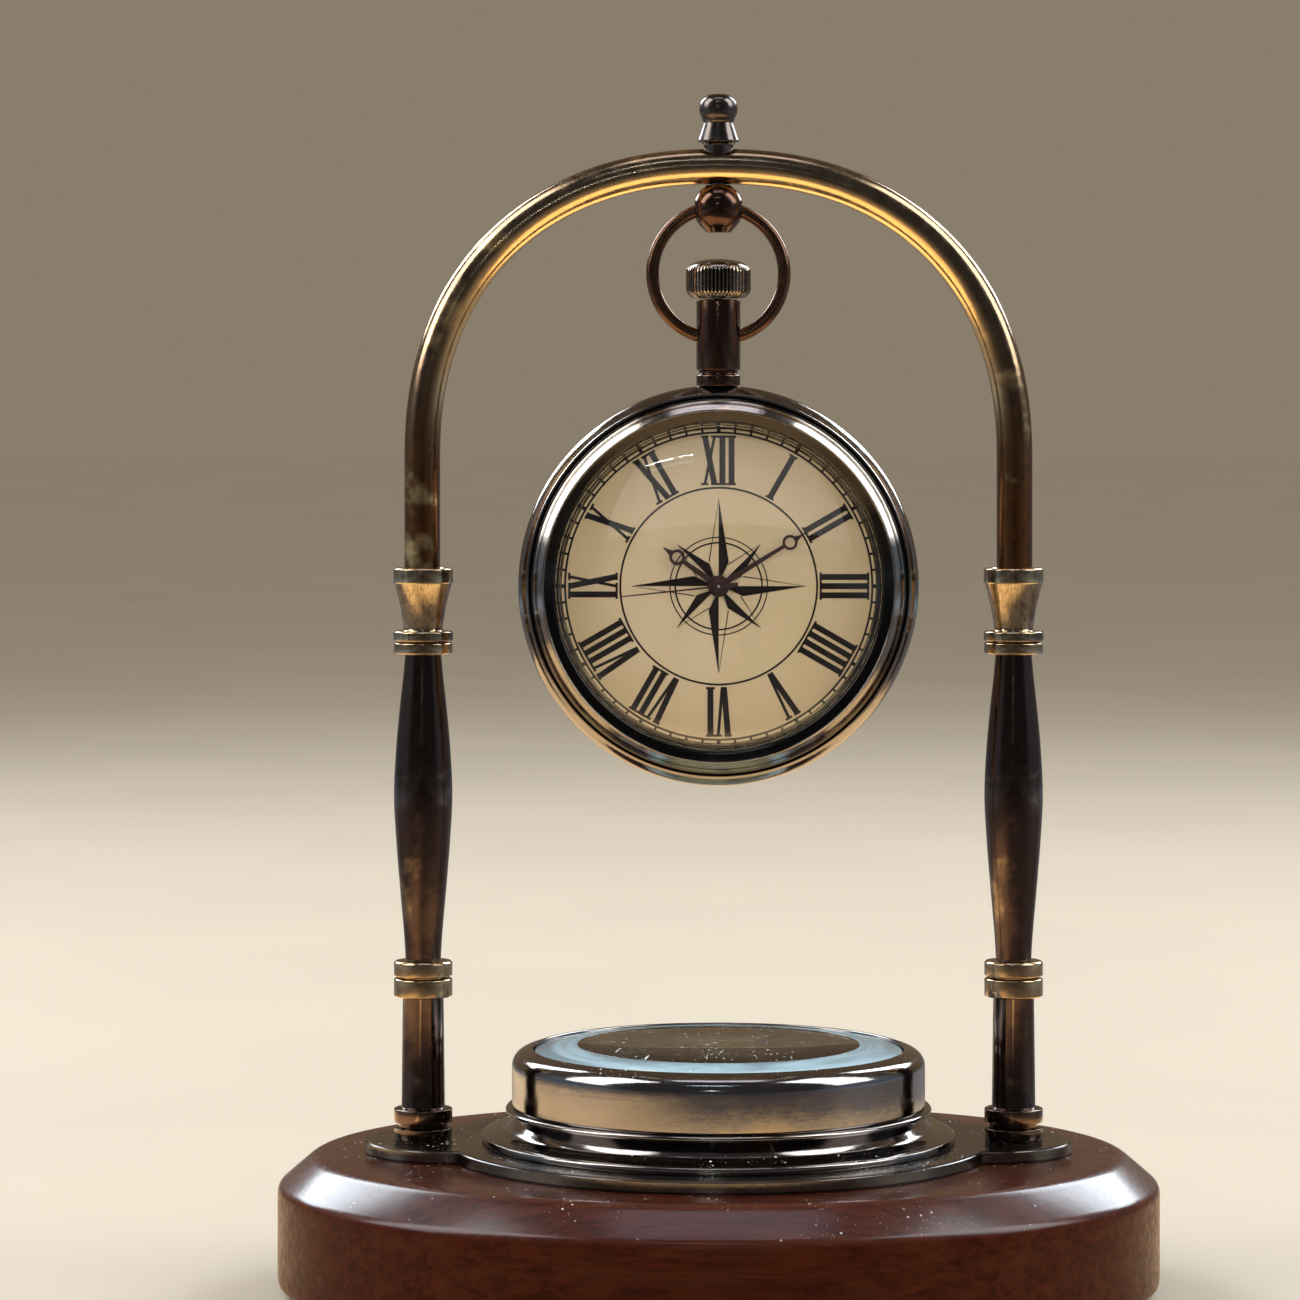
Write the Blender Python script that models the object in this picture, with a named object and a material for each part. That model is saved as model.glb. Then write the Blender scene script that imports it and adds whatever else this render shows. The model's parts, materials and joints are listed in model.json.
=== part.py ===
"""Ship's deck clock: a pocket watch hung from a brass arch over a desk compass, on an oval wooden base.

Run it with blender --background --python part.py. The scene is in metres with +Z up. The numbers below are
millimetres and degrees, and every builder scales them by MM. The origin is the middle of the underside, the
dial faces -Y and the columns stand to the left and right of it, on X.
"""

import math

import bmesh
import bpy
from mathutils import Vector

MM = 0.001

# Driving dimensions
BASE_HALF_LENGTH = 55.0
BASE_HALF_DEPTH = 45.0
BASE_TOP_Z = 17.4
BASE_CHAMFER = 3.9
BASE_CHAMFER_INSET = 4.6
FELT_THICKNESS = 1.0
PLATE_THICKNESS = 1.55
PLATE_RADIUS = 34.0
LOBE_X = 33.2
LOBE_RADIUS = 11.0
COLUMN_X = 36.9
ARCH_TUBE_RADIUS = 2.35
ARCH_SPRING_Z = 103.9
ARCH_CROWN_Z = 140.35  # tube axis at the top of the arch
ARCH_SQUARENESS = 2.25
CASE_Z = 88.1
CASE_RADIUS = 25.0
BOW_RADIUS = 8.25
BOW_WIRE_RADIUS = 0.8
BOW_CENTRE_Z = 127.05
PENDANT_RADIUS = 2.75
COMPASS_RADIUS = 25.8

# Fits
SEAT_GAP = 0.05
RUNNING_GAP = 0.1
PRESS_GAP = 0.15

# Facets round a part
LARGE_ROUND = 32
COLUMN_ROUND = 16
SMALL_ROUND = 12

# Heights of the fixed stack
WOOD_Z = FELT_THICKNESS + SEAT_GAP
PLATE_Z = BASE_TOP_Z + SEAT_GAP
PLATE_TOP_Z = PLATE_Z + PLATE_THICKNESS
FOOT_RING_Z = PLATE_TOP_Z + SEAT_GAP
FOOT_RING_TOP_Z = 20.5
STEM_Z = FOOT_RING_TOP_Z + SEAT_GAP
STEM_TOP_Z = 39.1
BALUSTER_Z = STEM_TOP_Z + SEAT_GAP
BALUSTER_TOP_Z = 80.7
FERRULE_Z = BALUSTER_TOP_Z + SEAT_GAP
FERRULE_TOP_Z = 90.25
SOCKET_FLOOR_Z = 85.6
COUNTERBORE_Z = 6.0
COUNTERBORE_RADIUS = 5.0
ROD_RADIUS = 1.55
ROD_HOLE_RADIUS = ROD_RADIUS + PRESS_GAP
ROD_TOP_Z = 50.0

# The hanging chain
ARCH_UNDERSIDE_Z = ARCH_CROWN_Z - ARCH_TUBE_RADIUS
BEAD_HOLE_Z = 135.0
BEAD_HOLE_RADIUS = 1.3
BEAD_TOP_Z = ARCH_UNDERSIDE_Z - RUNNING_GAP
BEAD_SOCKET_DEPTH = 1.2
SHANK_RADIUS = 0.95
BOW_PIN_X = 2.9
BOW_PIVOT_Z = BOW_CENTRE_Z - math.sqrt(BOW_RADIUS**2 - BOW_PIN_X**2)
PENDANT_FOOT_Z = CASE_Z + 24.6
PENDANT_TOP_Z = 123.6

# Watch, measured forward from the middle of the case
CASE_BACK_Y = -6.2
CASE_REAR_SEAT = -3.6
CASE_FRONT_SEAT = 3.3
DIAL_FRONT = 2.5
DIAL_THICKNESS = 0.4
DIAL_RADIUS = 20.9
CRYSTAL_RADIUS = 20.3
SHOWN_TIME = (10, 9, 44)  # hours, minutes and seconds at rest

# Compass, heights above the desk
COMPASS_DIAL_Z = 25.4
COMPASS_GLASS_Z = 28.7
NEEDLE_Z = 27.1
NEEDLE_BEARING = 28.0  # degrees clockwise from the back of the clock

# Watch train: teeth of each wheel and pinion
LEAVES = 6
THIRD_TEETH = 45
CENTRE_TEETH = 48
MINUTE_TEETH = 18
HOUR_TEETH = 24
TRAIN_DISTANCE = 3.4
MOTION_DISTANCE = 3.0
THIRD_ANGLE = 210.0  # direction of the third wheel's arbor from the centre, anticlockwise from 3 o'clock
MINUTE_WHEEL_ANGLE = 330.0


# ---------------------------------------------------------------- building


def clear_scene():
    for obj in list(bpy.data.objects):
        bpy.data.objects.remove(obj)


def material(name, colour, roughness, metallic=0.0, alpha=1.0):
    made = bpy.data.materials.get(name)
    if made is None:
        made = bpy.data.materials.new(name)
        made.use_nodes = True
        shader = made.node_tree.nodes["Principled BSDF"]
        shader.inputs["Base Color"].default_value = (*colour, 1.0)
        shader.inputs["Roughness"].default_value = roughness
        shader.inputs["Metallic"].default_value = metallic
        shader.inputs["Alpha"].default_value = alpha
    return made


def antique_brass():
    return material("antique_brass", (0.12, 0.08, 0.05), 0.2, 1.0)


def worn_brass():
    return material("worn_brass", (0.45, 0.31, 0.15), 0.25, 1.0)


def steel():
    return material("steel", (0.55, 0.55, 0.56), 0.3, 1.0)


def black_plastic():
    return material("black_plastic", (0.03, 0.03, 0.03), 0.5)


def hand_paint():
    return material("hand_paint", (0.05, 0.012, 0.01), 0.35, 0.3)


def glass():
    return material("glass", (0.85, 0.93, 0.94), 0.03, alpha=0.3)


def empty(name, at=(0, 0, 0), rotation=(0, 0, 0), parent=None):
    obj = bpy.data.objects.new(name, None)
    bpy.context.collection.objects.link(obj)
    place(obj, at, rotation, parent)
    return obj


def place(obj, at=(0, 0, 0), rotation=(0, 0, 0), parent=None):
    obj.location = Vector(at) * MM
    obj.rotation_euler = [math.radians(angle) for angle in rotation]
    obj.parent = parent


def finish(name, bm, surface, at=(0, 0, 0), rotation=(0, 0, 0), parent=None):
    """Closes bm into an object of this name, in millimetres, with its faces pointing out."""
    bmesh.ops.remove_doubles(bm, verts=bm.verts, dist=1e-4)
    bmesh.ops.recalc_face_normals(bm, faces=bm.faces)
    if bm.calc_volume(signed=True) < 0:
        bmesh.ops.reverse_faces(bm, faces=bm.faces)
    bmesh.ops.scale(bm, vec=(MM, MM, MM), verts=bm.verts)
    mesh = bpy.data.meshes.new(name)
    bm.to_mesh(mesh)
    bm.free()
    mesh.shade_smooth()
    mesh.set_sharp_from_angle(angle=math.radians(40))
    mesh.materials.append(surface)
    obj = bpy.data.objects.new(name, mesh)
    bpy.context.collection.objects.link(obj)
    place(obj, at, rotation, parent)
    return obj


def turned(name, profile, surface, facets=LARGE_ROUND, ring=False, **where):
    """Spins (radius, height) points about Z. A ring closes its profile; a solid's ends are on the axis."""
    bm = bmesh.new()
    points = [bm.verts.new((radius, 0, height)) for radius, height in profile]
    edges = [bm.edges.new(pair) for pair in zip(points, points[1:])]
    if ring:
        edges.append(bm.edges.new((points[-1], points[0])))
    bmesh.ops.spin(
        bm,
        geom=points + edges,
        cent=(0, 0, 0),
        axis=(0, 0, 1),
        angle=2 * math.pi,
        steps=facets,
        use_merge=True,
    )
    return finish(name, bm, surface, **where)


def prism(name, outline, low, high, surface, **where):
    """Extrudes a flat outline of (x, y) points from height low to height high."""
    bm = bmesh.new()
    face = bm.faces.new([bm.verts.new((x, y, low)) for x, y in outline])
    raised = bmesh.ops.extrude_face_region(bm, geom=[face])["geom"]
    moved = [item for item in raised if isinstance(item, bmesh.types.BMVert)]
    bmesh.ops.translate(bm, verts=moved, vec=(0, 0, high - low))
    return finish(name, bm, surface, **where)


def lofted(name, loops, surface, **where):
    """Skins a stack of point loops of one length, with a flat cap on each end."""
    bm = bmesh.new()
    rings = [[bm.verts.new(point) for point in loop] for loop in loops]
    for lower, upper in zip(rings, rings[1:]):
        for i in range(len(lower)):
            bm.faces.new((lower[i - 1], lower[i], upper[i], upper[i - 1]))
    bm.faces.new(rings[0])
    bm.faces.new(rings[-1])
    return finish(name, bm, surface, **where)


def cylinder(name, radius, low, high, surface=None, facets=COLUMN_ROUND, **where):
    profile = [(0, low), (radius, low), (radius, high), (0, high)]
    return turned(name, profile, surface or steel(), facets, **where)


def boolean(target, tool, operation):
    tool.hide_render = True
    tool.display_type = "WIRE"
    modifier = target.modifiers.new(f"{operation.lower()}_{tool.name}", "BOOLEAN")
    modifier.operation = operation
    modifier.solver = "EXACT"
    modifier.object = tool
    return target


def cut(target, *tools):
    for tool in tools:
        boolean(target, tool, "DIFFERENCE")
    return target


def join(target, *tools):
    for tool in tools:
        boolean(target, tool, "UNION")
    return target


def ring_profile(inner, outer, low, high):
    return [(inner, low), (outer, low), (outer, high), (inner, high)]


def turn_points(radius, start, end, steps, centre=(0, 0)):
    """Points on an arc from start to end degrees, both ends included."""
    angles = [math.radians(start + (end - start) * i / steps) for i in range(steps + 1)]
    return [(centre[0] + radius * math.cos(a), centre[1] + radius * math.sin(a)) for a in angles]


def circle(radius, facets, centre=(0, 0)):
    return turn_points(radius, 0, 360 - 360 / facets, facets - 1, centre)


def base_oval(inset, facets=48):
    """An ellipse, the base's plan taken in by inset."""
    half_length, half_depth = BASE_HALF_LENGTH - inset, BASE_HALF_DEPTH - inset
    return [(half_length * x, half_depth * y) for x, y in circle(1, facets)]


# ---------------------------------------------------------------- base


def build_base():
    wood = material("mahogany", (0.09, 0.025, 0.015), 0.3)
    felt = material("green_felt", (0.02, 0.06, 0.035), 0.95)
    edge = 0.9
    levels = [
        (edge, WOOD_Z),
        (0, WOOD_Z + edge),
        (0, BASE_TOP_Z - BASE_CHAMFER),
        (BASE_CHAMFER_INSET, BASE_TOP_Z),
    ]
    loops = []
    for inset, height in levels:
        loops.append([(x, y, height) for x, y in base_oval(inset)])
    base = lofted("wooden_base", loops, wood)
    for x in (-COLUMN_X, 0, COLUMN_X):
        bore = [
            (0, 0),
            (COUNTERBORE_RADIUS, 0),
            (COUNTERBORE_RADIUS, COUNTERBORE_Z),
            (ROD_HOLE_RADIUS, COUNTERBORE_Z),
            (ROD_HOLE_RADIUS, BASE_TOP_Z + 1),
            (0, BASE_TOP_Z + 1),
        ]
        cut(base, turned(f"base_bore_{x:.0f}", bore, steel(), COLUMN_ROUND, at=(x, 0, 0)))
    pad_inset = 2.5
    prism("felt_pad", base_oval(pad_inset), 0, FELT_THICKNESS, felt)


def plate_outline():
    """A disc with a smaller disc standing out at each end, along X."""
    gap = LOBE_X  # between the two centres
    along = (gap**2 + PLATE_RADIUS**2 - LOBE_RADIUS**2) / (2 * gap)
    meet = math.degrees(math.acos(along / PLATE_RADIUS))
    across = math.sqrt(PLATE_RADIUS**2 - along**2)
    lobe = math.degrees(math.atan2(across, along - gap))
    points = turn_points(LOBE_RADIUS, -lobe, lobe, 14, (LOBE_X, 0))
    points += turn_points(PLATE_RADIUS, meet, 180 - meet, 22)[1:]
    points += turn_points(LOBE_RADIUS, 180 - lobe, 180 + lobe, 14, (-LOBE_X, 0))[1:]
    points += turn_points(PLATE_RADIUS, 180 + meet, 360 - meet, 22)[1:-1]
    return points


def build_plate():
    plate = prism("base_plate", plate_outline(), PLATE_Z, PLATE_TOP_Z, antique_brass())
    for x in (-COLUMN_X, 0, COLUMN_X):
        hole = cylinder(f"plate_hole_{x:.0f}", ROD_HOLE_RADIUS, PLATE_Z - 1, PLATE_TOP_Z + 1, at=(x, 0, 0))
        cut(plate, hole)


# ---------------------------------------------------------------- columns


def stem_profile():
    ring, waist = 3.65, 2.62
    return [
        (ROD_HOLE_RADIUS, STEM_Z),
        (3.1, STEM_Z),
        (3.1, 21.2),
        (ring, 21.3),
        (ring, 22.6),
        (waist, 22.75),
        (waist - 0.08, 36.5),
        (ring, 36.7),
        (ring, STEM_TOP_Z - 0.15),
        (ring - 0.15, STEM_TOP_Z),
        (ROD_HOLE_RADIUS, STEM_TOP_Z),
    ]


def baluster_profile():
    ring, neck, belly, belly_z = 3.65, 2.2, 3.62, 61.5
    spigot_top = 83.8
    low, high = 41.35, 79.2
    profile = [(0, ROD_TOP_Z + 1), (ROD_HOLE_RADIUS, ROD_TOP_Z + 1), (ROD_HOLE_RADIUS, BALUSTER_Z)]
    profile += [(ring - 0.15, BALUSTER_Z), (ring, BALUSTER_Z + 0.15), (ring, low - 0.1), (neck, low)]
    for share in (0.22, 0.45, 0.7):  # the belly swells as a half cosine from each neck
        swell = (1 - math.cos(math.pi * share)) / 2
        profile.append((neck + (belly - neck) * swell, low + (belly_z - low) * share))
    profile.append((belly, belly_z))
    for share in (0.7, 0.45, 0.22):
        swell = (1 - math.cos(math.pi * share)) / 2
        profile.append((neck + (belly - neck) * swell, high - (high - belly_z) * share))
    profile += [(neck, high), (ring, high + 0.1), (ring, BALUSTER_TOP_Z)]
    profile += [(ROD_RADIUS, BALUSTER_TOP_Z), (ROD_RADIUS, spigot_top), (0, spigot_top)]
    return profile


def ferrule_profile():
    ring, cup = 3.72, 3.7
    socket = ARCH_TUBE_RADIUS + PRESS_GAP
    return [
        (0, 84.2),
        (ROD_HOLE_RADIUS, 84.2),
        (ROD_HOLE_RADIUS, FERRULE_Z + 0.3),
        (ring, FERRULE_Z + 0.3),
        (ring, 82.3),
        (2.6, 82.5),
        (cup, 88.3),
        (cup, FERRULE_TOP_Z - 0.15),
        (cup - 0.2, FERRULE_TOP_Z),
        (socket, FERRULE_TOP_Z),
        (socket, SOCKET_FLOOR_Z),
        (0, SOCKET_FLOOR_Z),
    ]


def build_column(side, x):
    """One column: turned brass pieces on a steel rod, drawn down on the plate by a nut under the wood."""
    at = (x, 0, 0)
    foot = [(ROD_HOLE_RADIUS, FOOT_RING_Z), (3.55, FOOT_RING_Z), (3.55, 20.3), (3.35, FOOT_RING_TOP_Z)]
    foot.append((ROD_HOLE_RADIUS, FOOT_RING_TOP_Z))
    turned(f"{side}_foot_ring", foot, antique_brass(), COLUMN_ROUND, ring=True, at=at)
    turned(f"{side}_stem", stem_profile(), antique_brass(), COLUMN_ROUND, ring=True, at=at)
    turned(f"{side}_baluster", baluster_profile(), antique_brass(), COLUMN_ROUND, at=at)
    turned(f"{side}_ferrule", ferrule_profile(), worn_brass(), COLUMN_ROUND, at=at)
    cylinder(f"{side}_tie_rod", ROD_RADIUS, 2.4, ROD_TOP_Z, at=at)
    washer = ring_profile(ROD_HOLE_RADIUS, 4.3, 5.2, COUNTERBORE_Z - SEAT_GAP)
    turned(f"{side}_washer", washer, steel(), COLUMN_ROUND, ring=True, at=at)
    nut = prism(f"{side}_nut", circle(3.2, 6), 2.7, 5.1, steel(), at=at)
    cut(nut, cylinder(f"{side}_nut_bore", ROD_HOLE_RADIUS, 2, 6, at=at))


# ---------------------------------------------------------------- arch and hanger


def arch_axis(steps):
    """Points up one leg, over the superellipse and down the other leg, each with its outward direction."""
    rise = ARCH_CROWN_Z - ARCH_SPRING_Z
    points = [(COLUMN_X, SOCKET_FLOOR_Z + SEAT_GAP)]
    for i in range(steps + 1):
        angle = math.pi * i / steps
        across, up = math.cos(angle), math.sin(angle)
        scale = (abs(across) ** ARCH_SQUARENESS + abs(up) ** ARCH_SQUARENESS) ** (-1 / ARCH_SQUARENESS)
        points.append((COLUMN_X * across * scale, ARCH_SPRING_Z + rise * up * scale))
    points.append((-COLUMN_X, SOCKET_FLOOR_Z + SEAT_GAP))
    return points


def tube_loops(points, radius, facets):
    """Circles square to a path in the XZ plane."""
    loops = []
    for i, (x, z) in enumerate(points):
        before, after = points[max(i - 1, 0)], points[min(i + 1, len(points) - 1)]
        along = Vector((after[0] - before[0], after[1] - before[1])).normalized()
        side = (along[1], -along[0])
        loop = []
        for cos, sin in circle(radius, facets):
            loop.append((x + side[0] * cos, sin, z + side[1] * cos))
        loops.append(loop)
    return loops


def build_arch():
    arch = lofted("arch", tube_loops(arch_axis(26), ARCH_TUBE_RADIUS, 10), antique_brass())
    cut(arch, cylinder("arch_hole", SHANK_RADIUS + PRESS_GAP, ARCH_UNDERSIDE_Z - 2, ARCH_CROWN_Z + 5))

    seat_z = ARCH_CROWN_Z + ARCH_TUBE_RADIUS
    shank_end_z = BEAD_TOP_Z - BEAD_SOCKET_DEPTH + RUNNING_GAP
    ball, ball_z = 2.42, seat_z + 4.75
    profile = [
        (0, shank_end_z),
        (SHANK_RADIUS, shank_end_z),
        (SHANK_RADIUS, seat_z - 1.2),
        (1.75, seat_z - 1.2),
        (1.75, seat_z + 0.2),
        (2.45, seat_z + 0.35),
        (1.75, seat_z + 2.95),
    ]
    squash = 0.86
    for radius, height in turn_points(ball, -35, 60, 3):
        profile.append((radius, ball_z + squash * height))
    profile.append((0, ball_z + squash * ball))
    finial = turned("finial", profile, antique_brass(), COLUMN_ROUND)
    saddle = cylinder(
        "finial_saddle", ARCH_TUBE_RADIUS + SEAT_GAP, -8, 8, at=(0, 0, ARCH_CROWN_Z), rotation=(0, 90, 0)
    )
    shank = cylinder("finial_shank", SHANK_RADIUS, shank_end_z, seat_z + 1, facets=COLUMN_ROUND)
    join(cut(finial, saddle), shank)


def build_hanger():
    band = 3.2
    profile = [
        (0, BEAD_TOP_Z - BEAD_SOCKET_DEPTH),
        (SHANK_RADIUS + RUNNING_GAP, BEAD_TOP_Z - BEAD_SOCKET_DEPTH),
        (SHANK_RADIUS + RUNNING_GAP, BEAD_TOP_Z),
        (1.35, BEAD_TOP_Z),
        (2.5, BEAD_TOP_Z - 0.9),
        (band, BEAD_TOP_Z - 2.3),
        (band, BEAD_TOP_Z - 3.9),
        (1.9, BEAD_TOP_Z - 5.7),
        (0, BEAD_TOP_Z - 5.7),
    ]
    bead = turned("hanger_bead", profile[::-1], antique_brass(), COLUMN_ROUND)
    hole = cylinder(
        "bead_hole", BEAD_HOLE_RADIUS, -6, 6, facets=SMALL_ROUND, at=(0, 0, BEAD_HOLE_Z), rotation=(0, 90, 0)
    )
    cut(bead, hole)


def build_bow():
    """An open ring of wire whose two ends turn in and stand in the pendant's cross hole."""
    pin_end = 1.35
    opening = math.degrees(math.asin(BOW_PIN_X / BOW_RADIUS))
    ring = turn_points(BOW_RADIUS, -90 + opening, 270 - opening, 24, (0, BOW_CENTRE_Z))
    path = [(pin_end, BOW_PIVOT_Z)] + ring + [(-pin_end, BOW_PIVOT_Z)]
    lofted("bow", tube_loops(path, BOW_WIRE_RADIUS, 8), antique_brass())


# ---------------------------------------------------------------- compass


def build_compass():
    bowl, neck = 22.4, 24.2
    floor_z = PLATE_TOP_Z + 3.1
    body = [
        (0, PLATE_TOP_Z + SEAT_GAP),
        (29.6, PLATE_TOP_Z + SEAT_GAP),
        (29.6, 19.8),
        (28.6, 20.1),
        (28.2, 20.7),
        (26.0, 21.1),
        (24.9, 22.0),
        (26.6, 22.4),
        (26.6, 23.1),
        (neck, 23.15),
        (neck, COMPASS_GLASS_Z - 0.55),
        (bowl, COMPASS_GLASS_Z - 0.55),
        (bowl, COMPASS_DIAL_Z - 0.5),
        (bowl - 1.4, COMPASS_DIAL_Z - 0.5),
        (bowl - 1.4, floor_z),
        (0, floor_z),
    ]
    body = turned("compass_body", body, antique_brass())
    cut(body, cylinder("compass_socket", ROD_HOLE_RADIUS, PLATE_TOP_Z - 1, PLATE_TOP_Z + 1.9))
    cut(body, cylinder("pivot_socket", 0.75, floor_z - 0.8, floor_z + 1, facets=SMALL_ROUND))

    shoulder = turn_points(2.3, 0, 90, 3, (COMPASS_RADIUS - 2.3, 28.1))
    bezel = [(neck + PRESS_GAP, 23.2), (COMPASS_RADIUS, 23.2)] + shoulder
    bezel += [(COMPASS_RADIUS - 2.6, 30.3), (COMPASS_RADIUS - 2.6, 29.6), (neck + PRESS_GAP, 29.2)]
    turned("compass_bezel", bezel, antique_brass(), ring=True)

    lens = COMPASS_RADIUS - 2.8
    crystal = [(0, COMPASS_GLASS_Z), (lens, COMPASS_GLASS_Z), (lens, 29.9), (lens - 2.4, 30.6), (0, 31.0)]
    turned("compass_glass", crystal, glass())
    seal = ring_profile(bowl - 0.6, lens, COMPASS_GLASS_Z - 0.5, COMPASS_GLASS_Z - SEAT_GAP)
    turned("compass_gasket", seal, black_plastic(), ring=True)
    card = ring_profile(1.6, bowl - 0.2, COMPASS_DIAL_Z - 0.45, COMPASS_DIAL_Z)
    turned("compass_dial", card, worn_brass(), ring=True)
    pin = [(0, floor_z - 0.7), (0.65, floor_z - 0.7), (0.65, NEEDLE_Z - 0.6), (0.12, NEEDLE_Z + 0.35)]
    pin.append((0, NEEDLE_Z + 0.4))
    turned("compass_pivot", pin, steel(), SMALL_ROUND)
    bolt = [(0, 2.4), (3.4, 2.4), (3.4, COUNTERBORE_Z - SEAT_GAP), (ROD_RADIUS, COUNTERBORE_Z - SEAT_GAP)]
    bolt += [(ROD_RADIUS, PLATE_TOP_Z + 1.7), (0, PLATE_TOP_Z + 1.7)]
    turned("compass_bolt", bolt, steel(), COLUMN_ROUND)

    swing = empty("needle_axis", at=(0, 0, NEEDLE_Z), rotation=(0, 0, -NEEDLE_BEARING))
    length, waist, eye = 17.5, 1.7, 1.05
    half = [(0, length), (-waist, 0), (0, -length), (waist, 0)]
    needle = prism("compass_needle", half, -0.15, 0.15, steel(), parent=swing)
    cut(needle, cylinder("needle_eye", eye, -1, 1, facets=SMALL_ROUND, parent=swing))
    cap = [(0, 0.5), (0.3, 0.5), (0.9, -0.55), (eye - RUNNING_GAP / 2, -0.55), (eye - RUNNING_GAP / 2, 0.2)]
    cap += [(1.7, 0.22), (1.7, 0.75), (1.2, 1.15), (0, 1.2)]
    turned("needle_cap", cap, worn_brass(), SMALL_ROUND, parent=swing)


# ---------------------------------------------------------------- watch case


def build_case(watch):
    inner = 22.4
    middle = [
        (inner, CASE_REAR_SEAT),
        (CASE_RADIUS - 0.7, CASE_REAR_SEAT),
        (CASE_RADIUS, CASE_REAR_SEAT + 1.1),
        (CASE_RADIUS, 1.9),
        (CASE_RADIUS - 1.0, CASE_FRONT_SEAT),
        (inner, CASE_FRONT_SEAT),
    ]
    middle = turned("case_middle", middle, antique_brass(), ring=True, parent=watch)
    stem_way = cylinder("case_stem_way", 1.3, 20, 27, facets=SMALL_ROUND, rotation=(-90, 0, 0), parent=watch)
    cut(middle, stem_way)

    rear = CASE_REAR_SEAT - SEAT_GAP
    back = [(0, CASE_BACK_Y), (14, CASE_BACK_Y + 0.35), (22.6, CASE_BACK_Y + 1.3), (24.3, rear - 0.3)]
    back += [(24.3, rear), (inner - PRESS_GAP, rear), (inner - PRESS_GAP, rear + 1.1)]
    back += [(inner - 1.0, rear + 1.1), (inner - 1.2, rear - 0.2), (0, rear - 1.0)]
    turned("case_back", back, antique_brass(), parent=watch)

    front = CASE_FRONT_SEAT + SEAT_GAP
    bezel = [(inner - PRESS_GAP, front - 1.0), (inner - PRESS_GAP, front), (23.8, front), (23.6, front + 0.7)]
    mouth = CRYSTAL_RADIUS + PRESS_GAP
    bezel += [(22.9, front + 1.3), (21.9, front + 1.6), (20.9, front + 1.2), (mouth, front + 0.5)]
    bezel += [(mouth, front - 0.2), (21.4, front - 1.0)]
    turned("case_bezel", bezel, antique_brass(), ring=True, parent=watch)

    low = CASE_FRONT_SEAT + 0.1
    crystal = [(0, low + 0.9), (15, low + 0.4), (CRYSTAL_RADIUS, low - 0.15), (CRYSTAL_RADIUS, low + 0.55)]
    crystal += [(15, low + 1.35), (0, low + 2.0)]
    turned("crystal", crystal, glass(), parent=watch)
    seat = DIAL_FRONT + SEAT_GAP
    flange = [(19.9, seat), (21.2, seat), (21.0, low - 0.95), (20.3, low - 0.25), (19.9, low - 0.25)]
    turned("dial_flange", flange, antique_brass(), ring=True, parent=watch)
    dial_back = DIAL_FRONT - DIAL_THICKNESS
    paper = material("dial_cream", (0.6, 0.47, 0.3), 0.6)
    turned("dial", ring_profile(1.35, DIAL_RADIUS, dial_back, DIAL_FRONT), paper, ring=True, parent=watch)


def knurled_outline(radius, depth, teeth):
    points = []
    for i in range(teeth):
        points += turn_points(radius, 360 * (i - 0.25) / teeth, 360 * (i + 0.25) / teeth, 1)
        points += turn_points(radius - depth, 360 * (i + 0.5) / teeth, 360 * (i + 0.5) / teeth, 1)[:1]
    return points


def build_pendant():
    foot, hole = PENDANT_FOOT_Z, BOW_WIRE_RADIUS + 0.2
    bore = 1.3
    profile = [
        (bore, foot - 1.0),
        (PENDANT_RADIUS - 0.6, foot - 1.0),
        (PENDANT_RADIUS - 0.6, foot + 0.2),
        (PENDANT_RADIUS, foot + 0.45),
        (PENDANT_RADIUS, 114.3),
        (PENDANT_RADIUS - 0.25, 114.4),
        (PENDANT_RADIUS - 0.25, 114.8),
        (PENDANT_RADIUS, 114.9),
        (PENDANT_RADIUS, PENDANT_TOP_Z),
        (bore, PENDANT_TOP_Z),
    ]
    pendant = turned("pendant", profile, antique_brass(), COLUMN_ROUND, ring=True)
    socket = cylinder("case_pocket", CASE_RADIUS + SEAT_GAP, -9, 9, facets=72)
    place(socket, at=(0, 0, CASE_Z), rotation=(90, 0, 0))
    cross = cylinder("bow_hole", hole, -4, 4, facets=SMALL_ROUND, at=(0, 0, BOW_PIVOT_Z), rotation=(0, 90, 0))
    cut(pendant, socket, cross)


def build_crown():
    """The crown with its long stem, which pulls out to set the hands, and the seal that slides with it."""
    underside, low, high = PENDANT_TOP_Z + 0.35, PENDANT_TOP_Z + 1.3, PENDANT_TOP_Z + 4.0
    knurl, depth, teeth = 4.06, 0.28, 20
    edge = knurled_outline(knurl, depth, teeth)
    loops = []
    for share, height in ((0.82, underside), (1.0, low), (1.0, high), (0.6, high + 1.3)):
        loops.append([(x * share, y * share, height) for x, y in edge])
    crown = lofted("crown", loops, antique_brass())
    cavity = ring_profile(0.9, 2.2, PENDANT_TOP_Z, PENDANT_TOP_Z + 1.6)
    cut(crown, turned("crown_cavity", cavity, steel(), SMALL_ROUND, ring=True))
    end_z = CASE_Z + 9.2
    stem = [(0, end_z), (0.45, end_z), (0.45, end_z + 4), (0.6, end_z + 4), (0.6, PENDANT_TOP_Z + 0.9)]
    stem += [(0.0, PENDANT_TOP_Z + 0.9)]
    turned("setting_stem", stem, steel(), SMALL_ROUND)
    cut(crown, cylinder("crown_stem_bore", 0.68, PENDANT_TOP_Z - 1, PENDANT_TOP_Z + 1.0, facets=SMALL_ROUND))
    seal = ring_profile(1.1, 2.05, PENDANT_TOP_Z + 0.95, PENDANT_TOP_Z + 1.5)
    turned("crown_gasket", seal, black_plastic(), SMALL_ROUND, ring=True)


# ---------------------------------------------------------------- movement


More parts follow.
